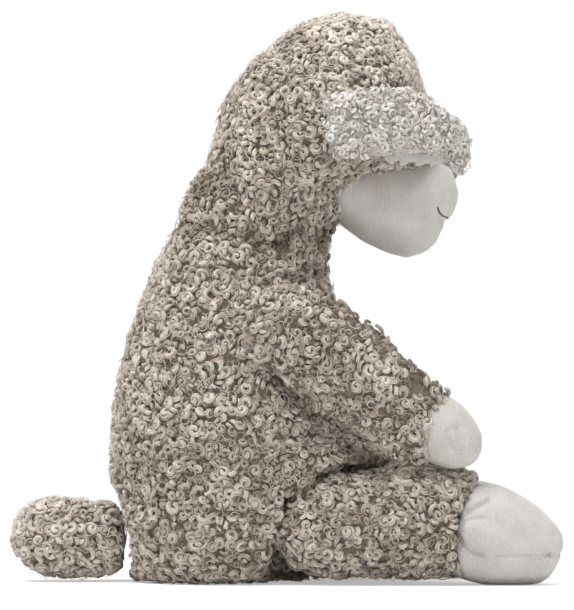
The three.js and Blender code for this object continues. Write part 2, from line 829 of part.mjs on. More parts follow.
function arm_hollow(side) {
  const profile = [new THREE.Vector2(0, -body_width)];
  profile.push(new THREE.Vector2(arm_hollow_reach, -body_width));
  const steps = Math.ceil(arm_hollow_reach / arm_hollow_step);
  for (let k = steps; k >= 0; k -= 1) {
    const distance = (arm_hollow_reach * k) / steps;
    const half_arm = arm_thickness / 2 + turning_clearance;
    const beyond = distance > half_arm;
    const arm_spread = beyond ? THREE.MathUtils.radToDeg(Math.asin(half_arm / distance)) : 180;
    const spread = arm_spread + arm_bend_angle;
    const slack = (arm_slack_share * arm_hollow_reach) / steps;
    let depth = 0;
    for (let angle = arm_way_angle - spread; angle <= arm_way_angle + arm_turns[1] + spread; angle += 5) {
      for (const reach of [Math.max(0, distance - slack), distance + slack]) {
        const x = shoulder.x + reach * Math.cos(radians(angle));
        const z = shoulder.z + reach * Math.sin(radians(angle));
        depth = Math.max(depth, z < body_height ? body_half_at(x, z) : 0);
      }
    }
    profile.push(new THREE.Vector2(distance, depth + clearance));
  }
  const geometry = new THREE.LatheGeometry(profile, 16);
  geometry.translate(shoulder.x, 0, shoulder.z);
  return solid(beside(geometry, side));
}

for (const [name, side] of sides) {
  const hollow = arm_hollow(side);
  const inside = solid(arm_form(side, -wall));
  const whole = solid(arm_form(side, 0)).subtract(inside).subtract(hollow);
  const sleeve = whole.subtract(solid(hand_form(side, clearance)));
  const mitten = solid(hand_form(side, 0)).subtract(solid(hand_form(side, -velvet_thickness)));
  const filling = solid(arm_form(side, -wall - clearance)).subtract(hollow);
  const hand_filling = solid(hand_form(side, -velvet_thickness - clearance));
  add(`arm_sleeve_${name}`, sleeve, 'fleece');
  add(`hand_${name}`, mitten.subtract(inside), 'velvet');
  add(`arm_stuffing_${name}`, filling.add(hand_filling), 'stuffing');
}

// Legs

for (const [name, side] of sides) {
  const inside = solid(leg_form(side, -wall));
  const sleeve = solid(leg_form(side, 0)).subtract(inside).subtract(solid(foot_form(side, clearance)));
  const whole = solid(foot_form(side, 0)).intersect(above(0)).subtract(inside);
  const foot_inside = solid(foot_form(side, -velvet_thickness)).intersect(above(velvet_thickness));
  const shell = whole.subtract(foot_inside);
  const filling = solid(leg_form(side, -wall - clearance));
  const low = velvet_thickness + clearance;
  const foot_filling = solid(foot_form(side, -low)).intersect(above(low));
  add(`leg_sleeve_${name}`, sleeve, 'fleece');
  add(`foot_upper_${name}`, shell.intersect(above(sole_thickness + clearance)), 'velvet');
  add(`foot_sole_${name}`, shell.intersect(below(sole_thickness)), 'velvet');
  add(`leg_stuffing_${name}`, filling.add(foot_filling), 'stuffing');
}

// Tail

const tail_mouth_share = 0.15;
const tail_mouth = tail_root.x + tail_mouth_share * tail_thickness;
const behind_mouth = box(floor_reach, floor_reach, floor_reach, tail_mouth - floor_reach / 2, 0, 0);
const tail_shell = solid(tail_form(0)).subtract(solid(tail_form(-wall)));
add('tail_cover', tail_shell.intersect(behind_mouth), 'fleece');
add('tail_stuffing', solid(tail_form(-wall - clearance)).intersect(behind_mouth), 'stuffing');

export default sheep;
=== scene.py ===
# Sitting plush sheep: curly fleece, velvet and stitching round the imported frame. Metres, +Z up.
# Fleece is made in two layers: a padded skin of backing cloth, darkened as painted shade for the gaps, and
# curled locks that grow from it.

import json
import math

import bmesh
import bpy
import numpy as np
from mathutils import Matrix, Vector, noise
from mathutils.bvhtree import BVHTree


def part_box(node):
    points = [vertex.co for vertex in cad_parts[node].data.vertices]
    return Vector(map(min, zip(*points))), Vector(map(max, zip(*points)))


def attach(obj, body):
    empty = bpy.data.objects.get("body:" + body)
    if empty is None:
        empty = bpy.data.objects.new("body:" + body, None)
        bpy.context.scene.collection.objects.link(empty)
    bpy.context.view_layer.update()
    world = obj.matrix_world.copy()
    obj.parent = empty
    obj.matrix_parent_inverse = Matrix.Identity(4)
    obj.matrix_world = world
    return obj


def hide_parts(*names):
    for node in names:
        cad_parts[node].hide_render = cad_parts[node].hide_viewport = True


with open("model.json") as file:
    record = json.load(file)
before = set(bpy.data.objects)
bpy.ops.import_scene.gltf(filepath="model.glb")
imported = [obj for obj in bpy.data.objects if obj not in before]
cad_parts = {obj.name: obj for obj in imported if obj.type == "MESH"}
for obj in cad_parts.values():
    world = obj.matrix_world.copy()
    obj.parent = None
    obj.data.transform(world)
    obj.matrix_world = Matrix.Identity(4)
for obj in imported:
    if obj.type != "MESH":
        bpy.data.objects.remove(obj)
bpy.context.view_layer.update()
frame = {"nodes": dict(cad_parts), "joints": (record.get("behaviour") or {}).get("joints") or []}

MM = 0.001
SIDES = (("left", 1), ("right", -1))

# Fleece
PILE_DEPTH = 3.8 * MM
EAR_PILE_DEPTH = 2.2 * MM
CURL_SPACING = 4.2 * MM
EAR_CURL_SPACING = 3.3 * MM
EAR_CURL_SIZE = 0.82
EAR_FRINGE_SPACING = 1.2 * MM
TUFT_SPACING = 4 * MM
TUFT_SIZE = 1.2
FIBRE_SHARE = 0.8
GROOVE_SHARE = 0.34
LOCK_STRETCH = 0.12
LAID_BELOW = 0.4 * MM
LAID_HEIGHT = 0.02 * MM
LAID_RISE = 0.3 * MM
BARE_FROM = 0.6
TUFTS_BARE_FROM = 0.5
LUMP_LENGTH = 12 * MM
LUMP_DEPTH = 1.3 * MM
BACKING_LOWEST = 0.5 * MM

# Forms: the size of the grid that each is cast on, and how they press on each other
FLEECE_GRID = 3.2 * MM
VELVET_GRID = 2 * MM
EAR_GRID = 1.6 * MM
LINING_GRID = 0.7 * MM
LINING_SWELL = 0.45 * MM
NECK_BALL = 42 * MM
HIDDEN_REACH = 3 * MM
SINK_STEPS = 4
FOLD_ROUNDS = 7
FOLD_DEPTH = 2 * MM
FACE_DEPTH = 5 * MM
EYE_ROOM = 9 * MM
LIMB_SWELL = 1.5 * MM
SWELL_PRESSURE = 4.0
SWELL_FRAMES = 20

# How far in from its root each velvet piece is held while its stuffing swells it
MUZZLE_ROOT = (16 * MM, 4 * MM)
HAND_ROOT = (14 * MM, 6 * MM)
FOOT_ROOT = (12 * MM, 4 * MM)

# Face
MUZZLE_SWELL = 1.2 * MM
MOUTH_DROP = 2.2 * MM
MOUTH_HALF_WIDTH = 14 * MM
MOUTH_CREASE_DEPTH = 1.8 * MM
MOUTH_CREASE_WIDTH = 2.6 * MM
NOSE_HEIGHT = 4 * MM
NOSE_LENGTH = 16 * MM
NOSE_WIDTH = 8 * MM
NOSE_DEPTH = 0.9 * MM

# Thread
NOSE_THREAD = 0.9 * MM
SEAM_THREAD_WIDTH = 0.6 * MM
STITCH_LENGTH = 2.2 * MM
STITCH_SPACING = 4 * MM

# Places that are moved a little, each as x and z, the reach round it, and its move
NAPE = ((-56 * MM, 201 * MM), 9 * MM, (-4 * MM, 0, 2 * MM))
CHEST = ((25 * MM, 181 * MM), 18 * MM, (3 * MM, 0, 0))
HEAD_BACK = ((-42 * MM, 233 * MM), 18 * MM, (-2.5 * MM, 0, -1 * MM))
CHIN = ((91 * MM, 192 * MM), 9 * MM, (-2.6 * MM, 0, -0.4 * MM))
HAND_FRONT = ((101 * MM, 69 * MM), 13 * MM, (4 * MM, 0, -2.5 * MM))
LAP_END = ((102 * MM, 60 * MM), 12 * MM, (1.5 * MM, 0, 5 * MM))

# The arm's cuff slants forward at its low edge: where along X and Z that sets in, and how far it goes
ARM_CUFF_X = (46 * MM, 72 * MM)
ARM_CUFF_Z = (76 * MM, 98 * MM)
ARM_CUFF_MOVE = (11 * MM, 0, -5.5 * MM)

# The leg's cuff slants too: heights, and how far forward the fleece reaches there
LEG_CUFF = (
    (0, 99 * MM),
    (10 * MM, 95 * MM),
    (20 * MM, 93 * MM),
    (33 * MM, 92 * MM),
    (42 * MM, 95 * MM),
    (50 * MM, 101 * MM),
    (66 * MM, 107 * MM),
)
LAP_X = (45 * MM, 60 * MM)

# Painted light on the pile, which lowers its fold shade: the crown of the head, from where to where along X
# and Z, and the tail
CROWN_X = (5 * MM, 40 * MM)
CROWN_Z = (240 * MM, 262 * MM)
CROWN_PAINTED_LIGHT = 0.35
TAIL_PAINTED_LIGHT = 0.12

# Ears, with the low edges of flap and lining as distances back from the tip and up from the bottom
EAR_EDGE = 2.2 * MM
EAR_ROOT_LENGTH = 28 * MM
EAR_TIP_LENGTH = 11 * MM
EAR_TIP_HEIGHT = 22 * MM
EAR_HANG_HEIGHT = 16 * MM
EAR_COLUMN = 2 * MM
EAR_LOW_EDGE = (
    (0, 1 * MM),
    (8 * MM, -2 * MM),
    (13 * MM, 5 * MM),
    (26 * MM, 7.5 * MM),
    (44 * MM, 6.5 * MM),
    (56 * MM, 6.5 * MM),
    (80 * MM, 9 * MM),
)
LINING_LOW_EDGE = (
    (0, 12 * MM),
    (12 * MM, 7 * MM),
    (16 * MM, 2.5 * MM),
    (24 * MM, 1.2 * MM),
    (34 * MM, 2.6 * MM),
    (44 * MM, 2.2 * MM),
    (50 * MM, 8 * MM),
    (80 * MM, 14 * MM),
)

# Creases, each as its line's places, depth and width. The places are distances back from the tip and up
# from the bottom of the hand or foot.
HAND_CREASES = (
    (((13 * MM, 22 * MM), (10.5 * MM, 15 * MM), (11.5 * MM, 8 * MM)), 2.0 * MM, 2.2 * MM),
    (((17 * MM, 20 * MM), (16 * MM, 11 * MM)), 1.4 * MM, 2.0 * MM),
    (((21 * MM, 4.5 * MM), (9 * MM, 3.5 * MM)), 1.0 * MM, 0.9 * MM),
)
ANKLE_FOLD = ((59 * MM, 33 * MM), (53 * MM, 40 * MM), (46 * MM, 44 * MM), (41 * MM, 46.5 * MM))
ANKLE_LINE = ((57 * MM, 31 * MM), (55 * MM, 34 * MM), (50 * MM, 36 * MM), (44 * MM, 36.5 * MM))
FOOT_CREASES = (
    (ANKLE_FOLD, 3.0 * MM, 2.0 * MM),
    (ANKLE_LINE, 1.0 * MM, 1.6 * MM),
    (((57 * MM, 24 * MM), (53 * MM, 19.5 * MM), (46 * MM, 17 * MM)), 2.6 * MM, 1.8 * MM),
    (((9.5 * MM, 17 * MM), (7.5 * MM, 17 * MM)), 2.0 * MM, 1.6 * MM),
)

# Seams of hands and feet
HAND_SEAM_WIDTH = 2.5 * MM
SOLE_SEAM_START = 34 * MM
SOLE_SEAM_LIFT = 1.5 * MM
SOLE_SEAM_WIDTH = 2.0 * MM
SOLE_GROOVE = 0.9 * MM

# Photograph
PICTURE_HEIGHT = 610
MM_PER_PIXEL = 0.55
CAMERA_DISTANCE = 2.4
CAMERA_ELEVATION = -0.8
CAMERA_TARGET = (0.0022, 0, 0.1518)
LAMP_TARGET = (0, 0, 0.14)

NECK = next(Vector(joint["pos_m"]) for joint in frame["joints"] if joint["child"] == "head")


def srgb(red, green, blue):
    """A colour given from 0 to 255 as it looks, in the linear values that materials use."""
    parts = [value / 255 for value in (red, green, blue)]
    return tuple(p / 12.92 if p <= 0.04045 else ((p + 0.055) / 1.055) ** 2.4 for p in parts) + (1.0,)


# Mesh helpers


def points_of(mesh):
    points = np.empty(len(mesh.vertices) * 3)
    mesh.vertices.foreach_get("co", points)
    return points.reshape(-1, 3)


def normals_of(mesh):
    normals = np.empty(len(mesh.vertices) * 3)
    mesh.vertices.foreach_get("normal", normals)
    return normals.reshape(-1, 3)


def put_points(mesh, points):
    mesh.vertices.foreach_set("co", np.ascontiguousarray(points).ravel())
    mesh.update()


def put_attribute(mesh, name, kind, values):
    field = "vector" if kind == "FLOAT_VECTOR" else "value"
    attribute = mesh.attributes.get(name) or mesh.attributes.new(name, kind, "POINT")
    attribute.data.foreach_set(field, np.ascontiguousarray(values, dtype=np.float32).ravel())


def new_piece(name, mesh, material=None):
    piece = bpy.data.objects.new(name, mesh)
    bpy.context.scene.collection.objects.link(piece)
    if material:
        piece.data.materials.clear()
        piece.data.materials.append(material)
    return piece


def settled(piece):
    """The piece with its modifiers worked into its mesh."""
    graph = bpy.context.evaluated_depsgraph_get()
    mesh = bpy.data.meshes.new_from_object(piece.evaluated_get(graph))
    piece.modifiers.clear()
    old = piece.data
    piece.data = mesh
    bpy.data.meshes.remove(old)
    mesh.name = piece.name
    return piece


def smoothly_shaded(mesh):
    mesh.polygons.foreach_set("use_smooth", np.ones(len(mesh.polygons), dtype=bool))
    mesh.update()


def fade(values, start, end):
    """0 before start, 1 after end and a smooth rise between them."""
    t = np.clip((values - start) / (end - start), 0, 1)
    return t * t * (3 - 2 * t)


def largest_shell(shape):
    """Leaves only the shell with the most points in a bmesh."""
    left = set(shape.verts)
    best = set()
    while left:
        shell = set()
        edge = [next(iter(left))]
        while edge:
            point = edge.pop()
            if point in shell:
                continue
            shell.add(point)
            edge.extend(link.other_vert(point) for link in point.link_edges)
        left -= shell
        best = max(best, shell, key=len)
    bmesh.ops.delete(shape, geom=[v for v in shape.verts if v not in best], context="VERTS")


def padded_form(name, nodes, grid, smoothing, hull=False, balls=(), swell=0):
    """One closed, smooth form round the named CAD solids and any balls that fill their hollows."""
    shape = bmesh.new()
    for centre, radius in balls:
        bmesh.ops.create_icosphere(shape, subdivisions=4, radius=radius, matrix=Matrix.Translation(centre))
    for node in nodes:
        shape.from_mesh(frame["nodes"][node].data)
    bmesh.ops.remove_doubles(shape, verts=shape.verts, dist=0.01 * MM)
    shape.normal_update()
    for point in shape.verts:
        point.co += point.normal * swell
    if hull:
        around = bmesh.ops.convex_hull(shape, input=shape.verts)
        inner = [part for part in around["geom_interior"] if isinstance(part, bmesh.types.BMVert)]
        bmesh.ops.delete(shape, geom=inner, context="VERTS")
        outer = {part for part in around["geom"] if isinstance(part, bmesh.types.BMFace)}
        bmesh.ops.delete(shape, geom=[face for face in shape.faces if face not in outer], context="FACES")
    mesh = bpy.data.meshes.new(name)
    shape.to_mesh(mesh)
    shape.free()
    piece = new_piece(name, mesh)
    remesh = piece.modifiers.new("Remesh", "REMESH")
    remesh.mode = "VOXEL"
    remesh.voxel_size = grid
    smooth = piece.modifiers.new("Smooth", "SMOOTH")
    smooth.factor = 0.5
    smooth.iterations = smoothing
    settled(piece)
    shape = bmesh.new()
    shape.from_mesh(piece.data)
    largest_shell(shape)
    bmesh.ops.recalc_face_normals(shape, faces=shape.faces)
    shape.to_mesh(piece.data)
    shape.free()
    smoothly_shaded(piece.data)
    return piece


# Materials


def node_maker(tree):
    def make(kind, inputs=None, **settings):
        node = tree.nodes.new(kind)
        for key, value in settings.items():
            setattr(node, key, value)
        for key, value in (inputs or {}).items():
            if isinstance(value, bpy.types.NodeSocket):
                tree.links.new(value, node.inputs[key])
            else:
                node.inputs[key].default_value = value
        return node

    return make


def new_material(name):
    material = bpy.data.materials.new(name)
    material.use_nodes = True
    tree = material.node_tree
    tree.nodes.clear()
    return material, node_maker(tree)


def ramp(make, value, stops):
    node = make("ShaderNodeValToRGB", {"Fac": value})
    elements = node.color_ramp.elements
    while len(elements) < len(stops):
        elements.new(0.5)
    for element, (position, color) in zip(elements, stops):
        element.position = position
        element.color = color
    return node


def fibre_lines(make, vector, scale, distortion):
    """Thin lines, 0 between bundles of fibres and 1 on them."""
    bundles = make(
        "ShaderNodeTexNoise",
        {"Vector": vector, "Scale": scale, "Detail": 1.5, "Roughness": 0.6, "Distortion": distortion},
    )
    offset = make("ShaderNodeMath", {0: bundles.outputs["Fac"], 1: 0.5}, operation="SUBTRACT")
    distance = make("ShaderNodeMath", {0: offset.outputs[0]}, operation="ABSOLUTE")
    lines = make("ShaderNodeMapRange", {"Value": distance.outputs[0]})
    lines.inputs["From Max"].default_value = 0.05
    return lines.outputs["Result"]


def fabric_shader(make, color, bump, roughness, sheen):
    shader = make(
        "ShaderNodeBsdfPrincipled",
        {"Base Color": color.outputs["Color"], "Normal": bump.outputs["Normal"]},
    )
    shader.inputs["Roughness"].default_value = roughness
    shader.inputs["Specular IOR Level"].default_value = 0.2
    shader.inputs["Sheen Weight"].default_value = sheen
    shader.inputs["Sheen Roughness"].default_value = 0.45
    make("ShaderNodeOutputMaterial", {"Surface": shader.outputs[0]})


def lock_material(name, deep, mid, bright):
    """Locks of fine fibres: lines along each lock, with painted shade in its grooves, at its root and in
    folds, and painted light where the fold shade is lowered below zero.

    Each part of the shade has its value, its share and what it starts from.
    """
    material, make = new_material(name)
    place = make("ShaderNodeAttribute", attribute_name="lock_place")
    tone = make("ShaderNodeAttribute", attribute_name="lock_tone")
    rise = make("ShaderNodeAttribute", attribute_name="lock_rise")
    shift = make("ShaderNodeVectorMath", {0: tone.outputs["Fac"]}, operation="SCALE")
    shift.inputs["Scale"].default_value = 61
    apart = make("ShaderNodeVectorMath", {0: place.outputs["Vector"], 1: shift.outputs[0]}, operation="ADD")
    lines = fibre_lines(make, apart.outputs[0], 1.3, 0)
    where = make("ShaderNodeTexCoord")
    patches = make("ShaderNodeTexNoise", {"Vector": where.outputs["Object"], "Scale": 38, "Detail": 2})
    ridge = make("ShaderNodeAttribute", attribute_name="lock_ridge")
    shade = make("ShaderNodeAttribute", attribute_name="shade")
    # rise, ridge and shade paint shade: darker at the lock's root, in its grooves and in folds; a shade
    # below zero paints light.
    parts = (
        (rise.outputs["Fac"], 0.45, 0),
        (ridge.outputs["Fac"], 0.3, 0),
        (lines, 0.2, 0),
        (tone.outputs["Fac"], 0.3, -0.15),
        (patches.outputs["Fac"], 0.5, -0.25),
        (shade.outputs["Fac"], -0.8, 0),
    )
    total = 0
    for value, share, start in parts:
        part = make("ShaderNodeMath", {0: value, 1: share, 2: start}, operation="MULTIPLY_ADD")
        total = make("ShaderNodeMath", {0: part.outputs[0], 1: total}, operation="ADD").outputs[0]
    color = ramp(make, total, [(0.0, deep), (0.5, mid), (1.0, bright)])
    bump = make("ShaderNodeBump", {"Height": lines, "Strength": 0.8, "Distance": 0.35 * MM})
    fabric_shader(make, color, bump, 0.6, 0.25)
    return material


def shade_backing_material(name, low, high):
    """Cloth between the curls, coloured dark as painted shade for the gaps between locks, with thin dark
    lines that wander.
    """
    material, make = new_material(name)
    where = make("ShaderNodeTexCoord")
    lines = fibre_lines(make, where.outputs["Object"], 420, 2.5)
    color = ramp(make, lines, [(0.0, low), (1.0, high)])
    bump = make("ShaderNodeBump", {"Height": lines, "Strength": 1.0, "Distance": 0.8 * MM})
    fabric_shader(make, color, bump, 0.8, 0.2)
    return material


def cloth_material(name, low, high, grain, rib_scale, nap, sheen):
    """Napped cloth: cloudy colour at two scales, fine ribs, and both in its bump."""
    material, make = new_material(name)
    where = make("ShaderNodeTexCoord")
    place = where.outputs["Object"]
    cloudy = make("ShaderNodeTexNoise", {"Vector": place, "Scale": 70, "Detail": 4, "Roughness": 0.55})
    fine = make("ShaderNodeTexNoise", {"Vector": place, "Scale": grain, "Detail": 3})
    ribs = make(
        "ShaderNodeTexWave",
        {"Vector": place, "Scale": rib_scale, "Distortion": 9, "Detail": 2, "Detail Scale": 1.2},
        bands_direction="X",
    )
    both = make("ShaderNodeMath", {0: cloudy.outputs["Fac"], 1: fine.outputs["Fac"]}, operation="ADD")
    ribbed = make("ShaderNodeMath", {0: ribs.outputs["Fac"], 1: 0.2, 2: -0.1}, operation="MULTIPLY_ADD")
    shares = {0: both.outputs[0], 1: 0.5, 2: ribbed.outputs[0]}
    clouds = make("ShaderNodeMath", shares, operation="MULTIPLY_ADD")
    color = ramp(make, clouds.outputs[0], [(0.28, low), (0.72, high)])
    shares = {0: ribs.outputs["Fac"], 1: 0.6, 2: fine.outputs["Fac"]}
    height = make("ShaderNodeMath", shares, operation="MULTIPLY_ADD")
    bump = make("ShaderNodeBump", {"Height": height.outputs[0], "Strength": nap, "Distance": 0.3 * MM})
    fabric_shader(make, color, bump, 0.85, sheen)
    return material


def plastic_material(name, color, roughness, coat):
    material, make = new_material(name)
    where = make("ShaderNodeTexCoord")
    haze = make("ShaderNodeTexNoise", {"Vector": where.outputs["Object"], "Scale": 900, "Detail": 2})
    rough = make("ShaderNodeMapRange", {"Value": haze.outputs["Fac"]})
    rough.inputs["To Min"].default_value = roughness
    rough.inputs["To Max"].default_value = roughness + 0.12
    bump = make("ShaderNodeBump", {"Height": haze.outputs["Fac"], "Strength": 0.05, "Distance": 0.05 * MM})
    shader = make(
        "ShaderNodeBsdfPrincipled", {"Roughness": rough.outputs["Result"], "Normal": bump.outputs["Normal"]}
    )
    shader.inputs["Base Color"].default_value = color
    shader.inputs["Coat Weight"].default_value = coat
    make("ShaderNodeOutputMaterial", {"Surface": shader.outputs[0]})
    return material


FLEECE = lock_material("Fleece", srgb(86, 72, 59), srgb(174, 159, 142), srgb(236, 227, 215))
# The ears' fleece is paler than the body's; part of that paleness is painted light for the light that falls
# on the ears.
PALE_FLEECE = lock_material("Pale fleece", srgb(182, 171, 158), srgb(228, 220, 211), srgb(250, 247, 242))
# Both backings are darker than their curls: painted shade for the gaps between the locks.
SHADE_BACKING = shade_backing_material("Fleece backing", srgb(88, 75, 62), srgb(152, 137, 120))
PALE_BACKING = shade_backing_material("Pale fleece backing", srgb(180, 170, 158), srgb(230, 223, 214))
VELVET = cloth_material("Velvet", srgb(186, 181, 176), srgb(222, 218, 214), 1300, 290, 0.6, 0.3)
THREAD = cloth_material("Nose thread", srgb(62, 58, 55), srgb(92, 88, 84), 4000, 900, 0.5, 0.1)
SEAM_THREAD = cloth_material("Seam thread", srgb(214, 208, 202), srgb(236, 232, 227), 4000, 900, 0.5, 0.1)
EYE_GLOSS = plastic_material("Eye gloss", srgb(18, 15, 12), 0.08, 0.6)
WASHER = plastic_material("Washer plastic", srgb(226, 224, 218), 0.4, 0)


# Curled locks: each is a roll of fibres that winds along a path in millimetres and ends in a point.


def lock_mesh(name, path, radial, across_width, steps, sides=8):
    """A ridged lock along a path, as thick as radial towards its own middle and as wide as across_width.

    Each point keeps its place on the straightened lock, its rise above the backing, and 1 on a ridge.
    The place is shortened along the lock, so that a noise on it runs in lines from root to end.
    """
    t = np.linspace(0, 1, steps + 1)
    centres = path(t)
    ways = np.gradient(centres, axis=0)
    ways /= np.linalg.norm(ways, axis=1)[:, None]
    out = centres - centres.mean(axis=0)
    out -= (out * ways).sum(axis=1)[:, None] * ways
    out /= np.linalg.norm(out, axis=1)[:, None] + 1e-9
    across = np.cross(ways, out)
    lengths = np.concatenate([[0], np.cumsum(np.linalg.norm(np.diff(centres, axis=0), axis=1))])
    swell = 0.5 + 0.5 * np.sin(math.pi * (0.16 + 0.8 * t))
    points, places, ridges, faces = [], [], [], []
    for row in range(steps):
        for k in range(sides):
            angle = 2 * math.pi * (k + 0.25) / sides
            ridge = 1 - k % 2 if sides % 2 == 0 else 1
            reach = swell[row] * (1 - GROOVE_SHARE * (1 - ridge))
            one = reach * radial * math.cos(angle)
            other = reach * across_width * math.sin(angle)
            points.append(centres[row] + one * out[row] + other * across[row])
            places.append((one, other, LOCK_STRETCH * lengths[row]))
            ridges.append(ridge)
    points.append(centres[steps])
    places.append((0, 0, LOCK_STRETCH * lengths[steps]))
    ridges.append(1)
    faces.append(tuple(reversed(range(sides))))
    for low in range(0, sides * (steps - 1), sides):
        for k in range(sides):
            following = (k + 1) % sides
            faces.append((low + k, low + following, low + sides + following, low + sides + k))
    low = sides * (steps - 1)
    for k in range(sides):
        faces.append((low + k, low + (k + 1) % sides, low + sides))
    mesh = bpy.data.meshes.new(name)
    mesh.from_pydata((np.array(points) * MM).tolist(), [], faces)
    put_attribute(mesh, "lock_place", "FLOAT_VECTOR", places)
    # lock_rise and lock_ridge let the material paint shade at the lock's root and in its grooves.
    put_attribute(mesh, "lock_rise", "FLOAT", np.clip((np.array(points)[:, 2] + 1.2) / 4, 0, 1))
    put_attribute(mesh, "lock_ridge", "FLOAT", ridges)
    shape = bmesh.new()
    shape.from_mesh(mesh)
    bmesh.ops.recalc_face_normals(shape, faces=shape.faces)
    shape.to_mesh(mesh)
    shape.free()
    smoothly_shaded(mesh)
    return mesh


def spiral(turns, outer, inner, low, high, lean):
    """A lock that winds in from its root, its rings leaning out of the level by lean degrees."""
    slope = math.radians(lean)

    def path(t):
        angle = 2 * math.pi * turns * t
        radius = outer + (inner - outer) * t
        flat = radius * np.sin(angle)
        height = low + (high - low) * np.sin(0.5 * math.pi * t) + flat * math.sin(slope)
        return np.stack([radius * np.cos(angle), flat * math.cos(slope), height], axis=1)

    return path


def ringlet(radius, length, turns, height):
    """A corkscrew that lies along the cloth."""

    def path(t):
        angle = 2 * math.pi * turns * t - 0.5 * math.pi
        along = length * (t - 0.5)
        return np.stack([along, radius * np.cos(angle), height + radius * np.sin(angle)], axis=1)

    return path


def wisp(length, bend):
    """A few loose fibres that stand out of the pile."""

    def path(t):
        return np.stack([bend * t * t, 0.4 * bend * np.sin(3 * t), length * t * (1 - 0.25 * t)], axis=1)

    return path


def lock_library(name, meshes):
    library = bpy.data.collections.new(name)
    for mesh in meshes:
        library.objects.link(bpy.data.objects.new(mesh.name, mesh))
    return library


CURLS = lock_library(
    "Curls",
    [
        lock_mesh("Snail", spiral(1.8, 3.2, 0.5, -0.8, 2.0, 6), 1.55, 1.6, 15),
        lock_mesh("Left snail", spiral(-1.6, 3.4, 0.6, -0.8, 1.8, 12), 1.6, 1.7, 13),
        lock_mesh("Loose snail", spiral(1.4, 3.1, 0.8, -0.6, 2.0, 22), 1.4, 1.5, 12),
        lock_mesh("Leaning snail", spiral(-1.5, 2.7, 0.7, -0.4, 1.9, 36), 1.3, 1.4, 12),
        lock_mesh("Roll", ringlet(1.2, 6.0, 1.9, 1.0), 1.3, 1.5, 13),
        lock_mesh("Comma", spiral(1.0, 3.0, 1.0, -0.5, 1.7, 14), 1.7, 1.6, 9),
        lock_mesh("Wave", spiral(-0.8, 3.8, 1.8, -0.5, 1.5, 20), 1.5, 1.4, 8),
    ],
)
FIBRES = lock_library(
    "Fibres",
    [
        lock_mesh("Round fibre", spiral(0.9, 3.0, 2.2, 1.2, 2.9, 8), 0.2, 0.24, 9, 3),
        lock_mesh("Tight fibre", spiral(-1.2, 2.1, 1.0, 1.4, 3.2, 20), 0.18, 0.22, 10, 3),
        lock_mesh("Long fibre", spiral(-0.55, 3.8, 2.6, 0.8, 2.6, 6), 0.2, 0.24, 7, 3),
        lock_mesh("Raised fibre", wisp(3.6, 3.4), 0.18, 0.2, 4, 3),
    ],
)
FRINGE = lock_library(
    "Fringe",
    [
        lock_mesh("Long wisp", wisp(6.0, 3.0), 0.26, 0.3, 6, 3),
        lock_mesh("Curled wisp", spiral(0.7, 2.6, 1.4, 0.0, 4.5, 50), 0.24, 0.28, 8, 3),
        lock_mesh("Short wisp", wisp(5.0, -2.5), 0.3, 0.34, 5, 3),
    ],
)


def node_tree(name, sockets):
    """A geometry node tree with the named inputs, its node maker and its input sockets."""
    tree = bpy.data.node_groups.new(name, "GeometryNodeTree")
    for title, kind in sockets.items():
        tree.interface.new_socket(title, in_out="INPUT", socket_type="NodeSocket" + kind)
    tree.interface.new_socket("Geometry", in_out="OUTPUT", socket_type="NodeSocketGeometry")
    make = node_maker(tree)
    return tree, make, make("NodeGroupInput").outputs


